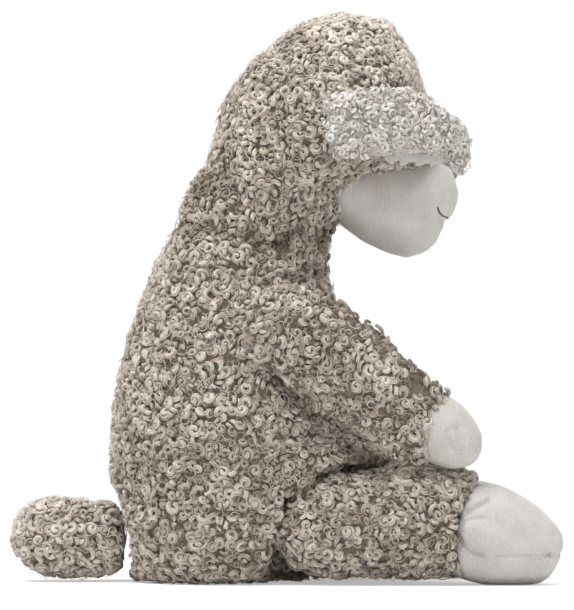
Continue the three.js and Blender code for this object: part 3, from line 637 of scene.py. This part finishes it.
def grower():
    """The node tree that plants locks of a library on a skin, as plain geometry."""
    sockets = {
        "Geometry": "Geometry",
        "Spacing": "Float",
        "Size": "Float",
        "Size spread": "Float",
        "Lean": "Float",
        "Seed": "Int",
        "Locks": "Collection",
        "Material": "Material",
    }
    tree, make, given = node_tree("Planted locks", sockets)
    cover = make("GeometryNodeInputNamedAttribute", {"Name": "cover"}, data_type="FLOAT")
    planted = make(
        "GeometryNodeDistributePointsOnFaces",
        {
            "Mesh": given["Geometry"],
            "Distance Min": given["Spacing"],
            "Density Max": 4.0e5,
            "Density Factor": cover.outputs["Attribute"],
            "Seed": given["Seed"],
        },
        distribute_method="POISSON",
    )
    spin = make("FunctionNodeRandomValue", {"Seed": given["Seed"]}, data_type="FLOAT_VECTOR")
    spin.inputs["Min"].default_value = (-1, -1, -1)
    spin.inputs["Max"].default_value = (1, 1, 1)
    parts = make("ShaderNodeSeparateXYZ", {0: spin.outputs["Value"]})
    lean_x = make("ShaderNodeMath", {0: parts.outputs["X"], 1: given["Lean"]}, operation="MULTIPLY")
    lean_y = make("ShaderNodeMath", {0: parts.outputs["Y"], 1: given["Lean"]}, operation="MULTIPLY")
    round_z = make("ShaderNodeMath", {0: parts.outputs["Z"], 1: math.pi}, operation="MULTIPLY")
    leaning = {"X": lean_x.outputs[0], "Y": lean_y.outputs[0], "Z": round_z.outputs[0]}
    angles = make("ShaderNodeCombineXYZ", leaning)
    twist = make("FunctionNodeEulerToRotation", {"Euler": angles.outputs[0]})
    turned = make(
        "FunctionNodeRotateRotation",
        {"Rotation": planted.outputs["Rotation"], "Rotate By": twist.outputs["Rotation"]},
        rotation_space="LOCAL",
    )
    least = make("ShaderNodeMath", {0: given["Size"], 1: given["Size spread"]}, operation="SUBTRACT")
    most = make("ShaderNodeMath", {0: given["Size"], 1: given["Size spread"]}, operation="ADD")
    size = make("FunctionNodeRandomValue", {"Seed": given["Seed"]}, data_type="FLOAT")
    tree.links.new(least.outputs[0], size.inputs[2])
    tree.links.new(most.outputs[0], size.inputs[3])
    library = make(
        "GeometryNodeCollectionInfo",
        {"Collection": given["Locks"], "Separate Children": True, "Reset Children": True},
    )
    placed = make(
        "GeometryNodeInstanceOnPoints",
        {
            "Points": planted.outputs["Points"],
            "Instance": library.outputs[0],
            "Pick Instance": True,
            "Rotation": turned.outputs[0],
            "Scale": size.outputs[1],
        },
    )
    tone = make("FunctionNodeRandomValue", {"Seed": given["Seed"]}, data_type="FLOAT")
    toned = make(
        "GeometryNodeStoreNamedAttribute",
        {"Geometry": placed.outputs[0], "Name": "lock_tone", "Value": tone.outputs[1]},
        data_type="FLOAT",
        domain="INSTANCE",
    )
    real = make("GeometryNodeRealizeInstances", {0: toned.outputs[0]})
    dressed = make("GeometryNodeSetMaterial", {"Geometry": real.outputs[0], "Material": given["Material"]})
    make("NodeGroupOutput", {"Geometry": dressed.outputs[0]})
    return tree


def stitcher():
    """The node tree that sews short stitches along a line of edges."""
    sockets = {
        "Geometry": "Geometry",
        "Spacing": "Float",
        "Length": "Float",
        "Width": "Float",
        "Material": "Material",
    }
    tree, make, given = node_tree("Stitches", sockets)
    line = make("GeometryNodeMeshToCurve", {0: given["Geometry"]})
    spaced = {"Curve": line.outputs[0], "Length": given["Spacing"]}
    places = make("GeometryNodeResampleCurve", spaced, mode="LENGTH")
    along = make("GeometryNodeInputTangent")
    turned = make("FunctionNodeAlignRotationToVector", {"Vector": along.outputs[0]}, axis="X")
    stitch = make("GeometryNodeMeshUVSphere", {"Segments": 8, "Rings": 5, "Radius": 0.5})
    shape = make("ShaderNodeCombineXYZ", {"X": given["Length"], "Y": given["Width"], "Z": given["Width"]})
    planted = make(
        "GeometryNodeInstanceOnPoints",
        {
            "Points": places.outputs[0],
            "Instance": stitch.outputs[0],
            "Rotation": turned.outputs[0],
            "Scale": shape.outputs[0],
        },
    )
    real = make("GeometryNodeRealizeInstances", {0: planted.outputs[0]})
    dressed = make("GeometryNodeSetMaterial", {"Geometry": real.outputs[0], "Material": given["Material"]})
    make("NodeGroupOutput", {"Geometry": dressed.outputs[0]})
    return tree


GROWER = grower()
STITCHER = stitcher()


def set_inputs(modifier, values):
    """Gives a node modifier its inputs by their names."""
    for item in modifier.node_group.interface.items_tree:
        if item.in_out == "INPUT" and item.name in values:
            modifier[item.identifier] = values[item.name]


def grown(name, skin, cover, locks, material, seed, spacing, size, spread, lean):
    """Locks on a skin where cover, a share for each of its points, asks for them."""
    put_attribute(skin.data, "cover", "FLOAT", cover)
    put_attribute(skin.data, "shade", "FLOAT", SHAPES[skin.name]["shade"])
    planter = new_piece(name, skin.data.copy())
    modifier = planter.modifiers.new("Locks", "NODES")
    modifier.node_group = GROWER
    values = {
        "Spacing": spacing,
        "Size": size,
        "Size spread": spread,
        "Lean": lean,
        "Seed": seed,
        "Locks": locks,
        "Material": material,
    }
    set_inputs(modifier, values)
    settled(planter)
    return planter


def laid_flat(piece):
    """Lays locks that would reach below the floor flat on it, at slightly different heights."""
    points = points_of(piece.data)
    low = points[:, 2] < LAID_BELOW
    points[low, 2] = LAID_HEIGHT + LAID_RISE * np.abs(np.sin(points[low, 0] * 9000))
    put_points(piece.data, points)


def joined(name, pieces):
    """Several pieces of one material as one mesh."""
    with bpy.context.temp_override(
        active_object=pieces[0], object=pieces[0], selected_objects=pieces, selected_editable_objects=pieces
    ):
        bpy.ops.object.join()
    pieces[0].name = name
    return pieces[0]


def dressed(piece, body, slot):
    """Shades a finished piece smoothly and lets it move with a body."""
    smoothly_shaded(piece.data)
    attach(piece, body)


def fleece_panel(
    name, skin, cover, body, seed, material=FLEECE, slot="fleece", spacing=CURL_SPACING, size=1.0
):
    """Curls with finer fibres between them on one sewn panel of a skin."""
    shown = cover * (SHAPES[skin.name]["hidden"] < BARE_FROM)
    curls = grown(name, skin, shown, CURLS, material, seed, spacing, size, 0.2 * size, 0.45)
    apart = FIBRE_SHARE * spacing
    fibres = grown(name + "_fibres", skin, shown, FIBRES, material, seed + 1, apart, size, 0.3 * size, 0.3)
    panel = joined(name, [curls, fibres])
    laid_flat(panel)
    dressed(panel, body, slot)


# Soft forms: all are made first, so that each knows where its neighbours hide it.

SHAPES = {}


def soft_form(name, nodes, body, slot, grid, smoothing=4, depth=PILE_DEPTH, **shape):
    """The padded skin of some CAD solids, in place of them. Depth is that of the pile grown on it."""
    piece = padded_form(name, nodes, grid, smoothing, **shape)
    piece.data.materials.append(VELVET if slot == "velvet" else SHADE_BACKING)
    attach(piece, body)
    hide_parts(*nodes)
    SHAPES[name] = {"piece": piece, "body": body, "slot": slot, "depth": 0 if slot == "velvet" else depth}


def spread(mesh, values, rounds):
    """Values of a mesh's points, evened out along its edges."""
    ends = np.empty(len(mesh.edges) * 2, dtype=int)
    mesh.edges.foreach_get("vertices", ends)
    first, second = ends.reshape(-1, 2).T
    for _ in range(rounds):
        total = values.copy()
        count = np.ones(len(values))
        for one, other in ((first, second), (second, first)):
            np.add.at(total, one, values[other])
            np.add.at(count, one, 1)
        values = total / count
    return values


def find_hidden_parts():
    """For each point of each soft form, how far others hide it, and how deep in a fold's shade it lies.

    A point is hidden where another form covers it or faces it closely. Folds lie between forms of the same
    cloth on different bodies.
    """
    surfaces = {name: surface_of(shape["piece"]) for name, shape in SHAPES.items()}
    for name, shape in SHAPES.items():
        mesh = shape["piece"].data
        hidden = np.zeros(len(mesh.vertices))
        folded = np.zeros(len(mesh.vertices))
        for k, (point, normal) in enumerate(zip(points_of(mesh), normals_of(mesh))):
            place = Vector(point)
            way = Vector(normal)
            for other, surface in surfaces.items():
                if other == name:
                    continue
                hit, face_way, _, gap = surface.ray_cast(place, way)
                if hit and (gap < HIDDEN_REACH or face_way.dot(way) > 0):
                    hidden[k] = 1
                    if SHAPES[other]["body"] != shape["body"] and SHAPES[other]["slot"] == shape["slot"]:
                        folded[k] = 1
        shape["hidden"] = spread(mesh, hidden, 2)
        shape["shade"] = spread(mesh, folded, FOLD_ROUNDS)


def sink_forms():
    """Draws fleece forms in by their pile's depth where they show, so that curls end at the CAD surface.

    What one form uncovers of the next is found again at each step, and is drawn in with it.
    """
    for _ in range(SINK_STEPS):
        find_hidden_parts()
        for shape in SHAPES.values():
            if shape["depth"]:
                skin = shape["piece"]
                share = (1 - shape["hidden"])[:, None]
                points = points_of(skin.data) - normals_of(skin.data) * share * shape["depth"] / SINK_STEPS
                put_points(skin.data, points)
                smooth = skin.modifiers.new("Smooth", "SMOOTH")
                smooth.iterations = 1
                settled(skin)
    find_hidden_parts()
    for shape in SHAPES.values():
        if shape["depth"]:
            skin = shape["piece"]
            points = points_of(skin.data)
            lumps = np.array([noise.noise(Vector(point) / LUMP_LENGTH) for point in points])
            points += normals_of(skin.data) * (LUMP_DEPTH * lumps - FOLD_DEPTH * shape["shade"])[:, None]
            points[:, 2] = np.maximum(points[:, 2], BACKING_LOWEST)
            put_points(skin.data, points)


def finer(piece):
    subdivide = piece.modifiers.new("Subdivide", "SUBSURF")
    subdivide.levels = 1
    subdivide.render_levels = 1
    settled(piece)
    smoothly_shaded(piece.data)


def stuffed(piece, held, cap):
    """Swells the piece by its stuffing in a cloth simulation, by cap at most, held where its seams are."""
    start = points_of(piece.data)
    group = piece.vertex_groups.new(name="held")
    for k, weight in enumerate(held):
        if weight > 0.02:
            group.add([k], float(weight), "REPLACE")
    cloth = piece.modifiers.new("Cloth", "CLOTH")
    cloth.settings.quality = 6
    cloth.settings.mass = 0.2
    cloth.settings.tension_stiffness = 20
    cloth.settings.compression_stiffness = 20
    cloth.settings.bending_stiffness = 2
    cloth.settings.use_pressure = True
    cloth.settings.uniform_pressure_force = SWELL_PRESSURE
    cloth.settings.vertex_group_mass = "held"
    cloth.settings.effector_weights.gravity = 0
    cloth.point_cache.frame_start = 1
    cloth.point_cache.frame_end = SWELL_FRAMES
    for frame_number in range(1, SWELL_FRAMES + 1):
        bpy.context.scene.frame_set(frame_number)
    settled(piece)
    bpy.context.scene.frame_set(1)
    move = points_of(piece.data) - start
    length = np.linalg.norm(move, axis=1)
    move *= np.minimum(1, cap / np.maximum(length, 1e-9))[:, None]
    put_points(piece.data, start + move)


def surface_of(piece):
    """The piece's surface, to be searched for near points and hits."""
    faces = [tuple(face.vertices) for face in piece.data.polygons]
    return BVHTree.FromPolygons(points_of(piece.data).tolist(), faces)


def laid_on(piece, line, lift=0):
    """A line moved to the nearest points of a piece's surface, lifted off it."""
    surface = surface_of(piece)
    found = [surface.find_nearest(Vector(point)) for point in line]
    return np.array([near + way * lift for near, way, _, _ in found])


def side_line(piece, sense, places):
    """A line on the piece's outer side, over the given places of x and z."""
    surface = surface_of(piece)
    hits = [surface.ray_cast(Vector((x, sense, z)), Vector((0, -sense, 0)))[0] for x, z in places]
    return np.array([hit for hit in hits if hit])


def thread_along(name, line, radius, material):
    """A round thread along a line of points."""
    curve = bpy.data.curves.new(name, "CURVE")
    curve.dimensions = "3D"
    curve.bevel_depth = radius
    curve.bevel_resolution = 2
    curve.use_fill_caps = True
    strand = curve.splines.new("POLY")
    strand.points.add(len(line) - 1)
    for point, place in zip(strand.points, line):
        point.co = (*place, 1)
    holder = bpy.data.objects.new(name, curve)
    mesh = bpy.data.meshes.new_from_object(holder)
    bpy.data.objects.remove(holder)
    return new_piece(name, mesh, material)


def line_distance(points, line):
    """The distance of each point from a line of several straight stretches."""
    best = np.full(len(points), np.inf)
    for a, b in zip(line[:-1], line[1:]):
        way = b - a
        t = np.clip(((points - a) @ way) / (way @ way), 0, 1)
        best = np.minimum(best, np.linalg.norm(points - a - t[:, None] * way, axis=1))
    return best


def creased(piece, line, depth, width):
    """Presses a soft crease into the piece along a line."""
    points = points_of(piece.data)
    press = depth * np.exp(-((line_distance(points, line) / width) ** 2))
    put_points(piece.data, points - normals_of(piece.data) * press[:, None])


def moved_near(piece, place, reach, move):
    """Moves the piece's points near a place, given as x and z and seen from the side."""
    points = points_of(piece.data)
    share = np.exp(-((np.hypot(points[:, 0] - place[0], points[:, 2] - place[1]) / reach) ** 2))
    put_points(piece.data, points + share[:, None] * np.array(move))


def held_at_root(piece, root, fading):
    """How firmly each point is held: 1 near the root, a place along X, and 0 beyond the fading's start."""
    loose, firm = fading
    return fade(points_of(piece.data)[:, 0], root + loose, root + firm)


def everywhere(skin):
    return np.ones(len(skin.data.vertices))


def kept_above_floor(piece):
    points = points_of(piece.data)
    points[:, 2] = np.maximum(points[:, 2], 0)
    put_points(piece.data, points)


# Pieces


def make_forms():
    torso = ["body_cover", "seat_panel", "body_stuffing", "pellet_bag"]
    soft_form("body_skin", torso, "torso", "fleece", FLEECE_GRID)
    soft_form("tail_skin", ["tail_cover", "tail_stuffing"], "tail", "fleece", FLEECE_GRID)
    head = ["head_cover", "head_stuffing"]
    soft_form("head_skin", head, "head", "fleece", FLEECE_GRID, balls=[(NECK, NECK_BALL)])
    soft_form("muzzle_velvet", ["muzzle_cover"], "head", "velvet", VELVET_GRID, 6, hull=True)
    for side, _ in SIDES:
        body = f"ear_{side}"
        flap = [f"ear_outer_{side}"]
        lining = [f"ear_lining_{side}"]
        soft_form(f"ear_skin_{side}", flap, body, "ear_fleece", EAR_GRID, 2, EAR_PILE_DEPTH)
        soft_form(f"ear_velvet_{side}", lining, body, "velvet", LINING_GRID, 2, swell=LINING_SWELL)
        body = f"arm_{side}"
        arm = [f"arm_sleeve_{side}", f"arm_stuffing_{side}"]
        soft_form(f"arm_skin_{side}", arm, body, "fleece", FLEECE_GRID)
        soft_form(f"hand_velvet_{side}", [f"hand_{side}"], body, "velvet", VELVET_GRID, 6, hull=True)
        body = f"leg_{side}"
        leg = [f"leg_sleeve_{side}", f"leg_stuffing_{side}"]
        soft_form(f"leg_skin_{side}", leg, body, "fleece", FLEECE_GRID)
        foot = [f"foot_upper_{side}", f"foot_sole_{side}"]
        soft_form(f"foot_velvet_{side}", foot, body, "velvet", VELVET_GRID, 6, hull=True)
    sink_forms()


def make_torso():
    skin = SHAPES["body_skin"]["piece"]
    moved_near(skin, *NAPE)
    moved_near(skin, *CHEST)
    points = points_of(skin.data)
    low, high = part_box("body_cover")
    front = points[:, 0] > (low.x + high.x) / 2
    upper = points[:, 2] > (low.z + high.z) / 2
    seed = 11
    for name, part in (("front", front), ("back_low", ~front & ~upper), ("back_high", ~front & upper)):
        for side, sense in SIDES:
            inside = part & (points[:, 1] * sense > 0)
            fleece_panel(f"body_fleece_{name}_{side}", skin, inside.astype(float), "torso", seed)
            seed += 10


def make_tail():
    skin = SHAPES["tail_skin"]["piece"]
    # The whole tail gets painted light: its fold shade is lowered, so its locks are paler.
    SHAPES[skin.name]["shade"] = SHAPES[skin.name]["shade"] - TAIL_PAINTED_LIGHT
    fleece_panel("tail_fleece", skin, everywhere(skin), "tail", 61)


def make_head():
    """The hood, kept well under the velvet face where they meet, and bare where the eyes are sewn in."""
    skin = SHAPES["head_skin"]["piece"]
    moved_near(skin, *HEAD_BACK)
    face = surface_of(SHAPES["muzzle_velvet"]["piece"])
    points = points_of(skin.data)
    # Painted light on the crown: its fold shade is lowered, so its locks are paler.
    crown = fade(points[:, 0], *CROWN_X) * fade(points[:, 2], *CROWN_Z)
    SHAPES[skin.name]["shade"] = SHAPES[skin.name]["shade"] - CROWN_PAINTED_LIGHT * crown
    for k, point in enumerate(points):
        near, way, _, _ = face.find_nearest(Vector(point))
        depth = (near - Vector(point)).dot(way)
        if 0 < depth < FACE_DEPTH:
            points[k] -= np.array(way) * (FACE_DEPTH - depth)
    put_points(skin.data, points)
    for side, sense in SIDES:
        low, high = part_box(f"eye_{side}")
        from_eye = np.linalg.norm(points - np.array((low + high) / 2), axis=1)
        shown = (points[:, 1] * sense > 0) & (from_eye > EYE_ROOM)
        fleece_panel(f"head_fleece_{side}", skin, shown.astype(float), "head", 71 + sense)


def make_muzzle():
    """The velvet face, with the mouth line drawn in by its thread and the nose standing out above it."""
    muzzle = SHAPES["muzzle_velvet"]["piece"]
    low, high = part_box("muzzle_cover")
    stuffed(muzzle, held_at_root(muzzle, low.x, MUZZLE_ROOT), MUZZLE_SWELL)
    finer(muzzle)
    moved_near(muzzle, *CHIN)
    mouth = nose_line()
    mouth[:, 2] -= MOUTH_DROP * np.maximum(0, 1 - np.abs(mouth[:, 1]) / MOUTH_HALF_WIDTH)
    creased(muzzle, laid_on(muzzle, mouth), MOUTH_CREASE_DEPTH, MOUTH_CREASE_WIDTH)
    points = points_of(muzzle.data)
    nose_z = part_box("nose_stitch")[1].z + NOSE_HEIGHT
    bump = np.exp(-(((points[:, 2] - nose_z) / NOSE_WIDTH) ** 2))
    bump *= fade(points[:, 0], high.x - NOSE_LENGTH, high.x)
    put_points(muzzle.data, points + normals_of(muzzle.data) * (NOSE_DEPTH * bump)[:, None])
    thread = thread_along("mouth_thread", laid_on(muzzle, mouth, 0.1 * MM), NOSE_THREAD / 2, THREAD)
    dressed(thread, "head", "nose_thread")
    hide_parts("nose_stitch")


def nose_line():
    """The middle line of the nose thread, from its CAD solid, in order across the face."""
    points = points_of(frame["nodes"]["nose_stitch"].data)
    order = np.argsort(points[:, 1])
    return np.array([points[part].mean(axis=0) for part in np.array_split(order, 15)])


def make_ears():
    """Pale curls down to a bare edge, longer wisps at the tip, and the velvet lining below the edge."""
    for side, sense in SIDES:
        skin = SHAPES[f"ear_skin_{side}"]["piece"]
        skin.data.materials[0] = PALE_BACKING
        outward = normals_of(skin.data)[:, 1] * sense
        low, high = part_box(f"ear_outer_{side}")
        tip = high.x - EAR_TIP_LENGTH
        lining = SHAPES[f"ear_velvet_{side}"]["piece"]
        hung(skin, EAR_LOW_EDGE, high.x, low.z)
        hung(lining, LINING_LOW_EDGE, high.x, low.z)
        points = points_of(skin.data)
        bare = points[:, 2] < low_edge(points) + EAR_EDGE
        bare &= (points[:, 0] > low.x + EAR_ROOT_LENGTH) & (points[:, 0] < tip - 2 * MM)
        shown = ((outward > -0.3) & ~bare).astype(float)
        body = f"ear_{side}"
        look = (PALE_FLEECE, "ear_fleece", EAR_CURL_SPACING, EAR_CURL_SIZE)
        fleece_panel(f"ear_fleece_{side}", skin, shown, body, 91 + sense, *look)
        at_tip = (points[:, 0] > tip) * (points[:, 2] < high.z - EAR_TIP_HEIGHT)
        spacing = EAR_FRINGE_SPACING
        name = f"ear_fringe_{side}"
        fringe = grown(name, skin, at_tip, FRINGE, PALE_FLEECE, 95 + sense, spacing, 1.0, 0.3, 0.6)
        dressed(fringe, body, "ear_fleece")


def hung(flap, places, tip, bottom):
    """Moves the flap's low edge to the given places, back from the tip and up from the bottom."""
    points = points_of(flap.data)
    back, up = np.array(places).T
    wanted = bottom + np.interp(tip - points[:, 0], back, up)
    lowest = low_edge(points)
    share = 1 - fade(points[:, 2] - lowest, 0, EAR_HANG_HEIGHT)
    points[:, 2] += (wanted - lowest) * share
    put_points(flap.data, points)


def low_edge(points):
    """For each point, the height of the flap's low edge at its place along X, without the edge's steps."""
    column = np.round(points[:, 0] / EAR_COLUMN).astype(int)
    keys = sorted(set(column))
    lowest = np.array([points[column == key, 2].min() for key in keys])
    padded = np.pad(lowest, 2, mode="edge")
    even = np.convolve(padded, np.ones(5) / 5, mode="valid")
    return np.interp(points[:, 0], np.array(keys) * EAR_COLUMN, even)


def make_arms():
    """Fleece sleeves with a slanting cuff, and velvet hands with a seam round them and creases."""
    for side, sense in SIDES:
        body = f"arm_{side}"
        skin = SHAPES[f"arm_skin_{side}"]["piece"]
        points = points_of(skin.data)
        share = fade(points[:, 0], *ARM_CUFF_X) * (1 - fade(points[:, 2], *ARM_CUFF_Z))
        share *= 1 - SHAPES[skin.name]["hidden"]
        put_points(skin.data, points + share[:, None] * np.array(ARM_CUFF_MOVE))
        fleece_panel(f"arm_fleece_{side}", skin, everywhere(skin), body, 101 + sense)
        hand = SHAPES[f"hand_velvet_{side}"]["piece"]
        points = points_of(hand.data)
        low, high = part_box(f"hand_{side}")
        middle = (low.y + high.y) / 2
        seam = np.exp(-(((points[:, 1] - middle) / HAND_SEAM_WIDTH) ** 2))
        stuffed(hand, np.maximum(seam, held_at_root(hand, low.x, HAND_ROOT)), LIMB_SWELL)
        finer(hand)
        moved_near(hand, *HAND_FRONT)
        for places, depth, width in HAND_CREASES:
            line = side_line(hand, sense, [(high.x - back, low.z + up) for back, up in places])
            creased(hand, line, depth, width)


def make_legs():
    """Fleece sleeves with tufts on the lap, and velvet feet with a seam above the sole and creases."""
    for side, sense in SIDES:
        body = f"leg_{side}"
        skin = SHAPES[f"leg_skin_{side}"]["piece"]
        points = points_of(skin.data)
        heights, reaches = np.array(LEG_CUFF).T
        points[:, 0] = np.minimum(points[:, 0], np.interp(points[:, 2], heights, reaches))
        put_points(skin.data, points)
        moved_near(skin, *LAP_END)
        fleece_panel(f"leg_fleece_{side}", skin, everywhere(skin), body, 111 + sense)
        on_top = fade(normals_of(skin.data)[:, 2], 0.3, 0.7) * fade(points_of(skin.data)[:, 0], *LAP_X)
        on_top *= SHAPES[skin.name]["hidden"] < TUFTS_BARE_FROM
        name = f"lap_tufts_{side}"
        seed = 131 + sense
        tufts = grown(name, skin, on_top, CURLS, FLEECE, seed, TUFT_SPACING, TUFT_SIZE, 0.25, 0.9)
        dressed(tufts, body, "fleece")
        foot = SHAPES[f"foot_velvet_{side}"]["piece"]
        points = points_of(foot.data)
        low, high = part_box(f"foot_sole_{side}")
        seam_z = high.z + SOLE_SEAM_LIFT
        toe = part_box(f"foot_upper_{side}")[1].x
        seam = np.exp(-(((points[:, 2] - seam_z) / SOLE_SEAM_WIDTH) ** 2))
        stuffed(foot, np.maximum(seam, held_at_root(foot, low.x, FOOT_ROOT)), LIMB_SWELL)
        finer(foot)
        for places, depth, width in FOOT_CREASES:
            creased(foot, side_line(foot, sense, [(toe - back, up) for back, up in places]), depth, width)
        points = points_of(foot.data)
        groove = np.exp(-(((points[:, 2] - seam_z) / SOLE_GROOVE) ** 2))
        groove *= fade(points[:, 0], toe - SOLE_SEAM_START - 8 * MM, toe - SOLE_SEAM_START)
        put_points(foot.data, points - normals_of(foot.data) * (SOLE_GROOVE * groove)[:, None])
        kept_above_floor(foot)
        sew_sole(side, foot, seam_z, toe)


def sew_sole(side, foot, height, toe):
    """Small stitches along the seam between the foot and its sole."""
    points = points_of(foot.data)
    near = (np.abs(points[:, 2] - height) < 0.6 * MM) & (points[:, 0] > toe - SOLE_SEAM_START)
    middle = (points[near].min(axis=0) + points[near].max(axis=0)) / 2
    around = points[near] - middle
    line = points[near][np.argsort(np.arctan2(around[:, 1], around[:, 0] + SOLE_SEAM_START))]
    line[:, 2] = height
    seam = laid_on(foot, line[::3]).tolist()
    mesh = bpy.data.meshes.new(f"sole_stitches_{side}")
    mesh.from_pydata(seam, [(k, k + 1) for k in range(len(seam) - 1)], [])
    stitches = new_piece(f"sole_stitches_{side}", mesh)
    modifier = stitches.modifiers.new("Stitches", "NODES")
    modifier.node_group = STITCHER
    values = {
        "Spacing": STITCH_SPACING,
        "Length": STITCH_LENGTH,
        "Width": SEAM_THREAD_WIDTH,
        "Material": SEAM_THREAD,
    }
    set_inputs(modifier, values)
    settled(stitches)
    dressed(stitches, f"leg_{side}", "velvet")


def dress_plain_nodes():
    """The hard pieces keep their CAD shapes."""
    looks = {}
    for side, _ in SIDES:
        looks[f"eye_{side}"] = EYE_GLOSS
        looks[f"eye_washer_{side}"] = WASHER
    for node, material in looks.items():
        slots = frame["nodes"][node].data.materials
        slots.clear()
        slots.append(material)


# Stage


def seen_rays(make):
    """1 for rays that show a surface in the picture, and 0 for those that light other surfaces."""
    path = make("ShaderNodeLightPath")
    kinds = {0: path.outputs["Is Camera Ray"], 1: path.outputs["Is Glossy Ray"]}
    seen = make("ShaderNodeMath", kinds, operation="MAXIMUM")
    kinds = {0: seen.outputs[0], 1: path.outputs["Is Transmission Ray"]}
    return make("ShaderNodeMath", kinds, operation="MAXIMUM").outputs[0]


def make_floor():
    """A pale floor that turns into the white background away from the sheep."""
    material, make = new_material("Floor")
    seen = seen_rays(make)
    plain = make("ShaderNodeBsdfDiffuse", {"Color": (0.9, 0.9, 0.9, 1)})
    strength = make("ShaderNodeMath", {0: seen, 1: 0.4}, operation="MULTIPLY")
    light = make("ShaderNodeEmission", {"Color": (1, 1, 1, 1), "Strength": strength.outputs[0]})
    both = make("ShaderNodeAddShader", {0: plain.outputs[0], 1: light.outputs[0]})
    where = make("ShaderNodeTexCoord")
    distance = make("ShaderNodeVectorMath", {0: where.outputs["Object"]}, operation="LENGTH")
    away = make("ShaderNodeMapRange", {"Value": distance.outputs["Value"]}, interpolation_type="SMOOTHSTEP")
    away.inputs["From Min"].default_value = 0.2
    away.inputs["From Max"].default_value = 0.6
    share = make("ShaderNodeMath", {0: away.outputs["Result"], 1: seen}, operation="MULTIPLY")
    white = make("ShaderNodeEmission", {"Color": (1, 1, 1, 1), "Strength": 1.0})
    whole = make("ShaderNodeMixShader", {0: share.outputs[0], 1: both.outputs[0], 2: white.outputs[0]})
    make("ShaderNodeOutputMaterial", {"Surface": whole.outputs[0]})
    mesh = bpy.data.meshes.new("floor")
    reach = 6
    corners = [(-reach, -reach, 0), (reach, -reach, 0), (reach, reach, 0), (-reach, reach, 0)]
    mesh.from_pydata(corners, [], [(0, 1, 2, 3)])
    new_piece("floor", mesh, material)


def make_light():
    """A white background, dimmer as a light than it looks, and three soft lamps."""
    world = bpy.data.worlds.new("Studio")
    bpy.context.scene.world = world
    world.use_nodes = True
    world.node_tree.nodes.clear()
    make = node_maker(world.node_tree)
    level = make("ShaderNodeMapRange", {"Value": seen_rays(make)})
    level.inputs["To Min"].default_value = 0.36
    level.inputs["To Max"].default_value = 1.0
    sky = make("ShaderNodeBackground", {"Color": (1, 1, 1, 1), "Strength": level.outputs["Result"]})
    make("ShaderNodeOutputWorld", {"Surface": sky.outputs[0]})
    lamps = {
        "Key": ((-0.45, -0.55, 2.1), 1.5, 50),
        "Fill": ((1.4, -1.6, 0.9), 1.6, 6),
        "Back": ((0.3, 1.8, 1.6), 1.8, 12),
    }
    for name, (place, size, watts) in lamps.items():
        light = bpy.data.lights.new(name, "AREA")
        light.shape = "SQUARE"
        light.size = size
        light.energy = watts
        lamp = bpy.data.objects.new(name, light)
        lamp.location = place
        way = Vector(LAMP_TARGET) - Vector(place)
        lamp.rotation_euler = way.to_track_quat("-Z", "Y").to_euler()
        bpy.context.scene.collection.objects.link(lamp)


def make_camera():
    data = bpy.data.cameras.new("Camera")
    data.sensor_width = 36
    data.lens = 36 * CAMERA_DISTANCE / (PICTURE_HEIGHT * MM_PER_PIXEL * MM)
    camera = bpy.data.objects.new("Camera", data)
    bpy.context.scene.collection.objects.link(camera)
    slope = math.radians(CAMERA_ELEVATION)
    target = Vector(CAMERA_TARGET)
    back = Vector((0, -math.cos(slope), math.sin(slope)))
    camera.location = target + back * CAMERA_DISTANCE
    camera.rotation_euler = (-back).to_track_quat("-Z", "Y").to_euler()
    bpy.context.scene.camera = camera


bpy.context.scene.view_settings.view_transform = "Standard"
make_camera()
make_light()
make_floor()
make_forms()
make_torso()
make_tail()
make_head()
make_muzzle()
make_ears()
make_arms()
make_legs()
dress_plain_nodes()

bpy.context.view_layer.update()
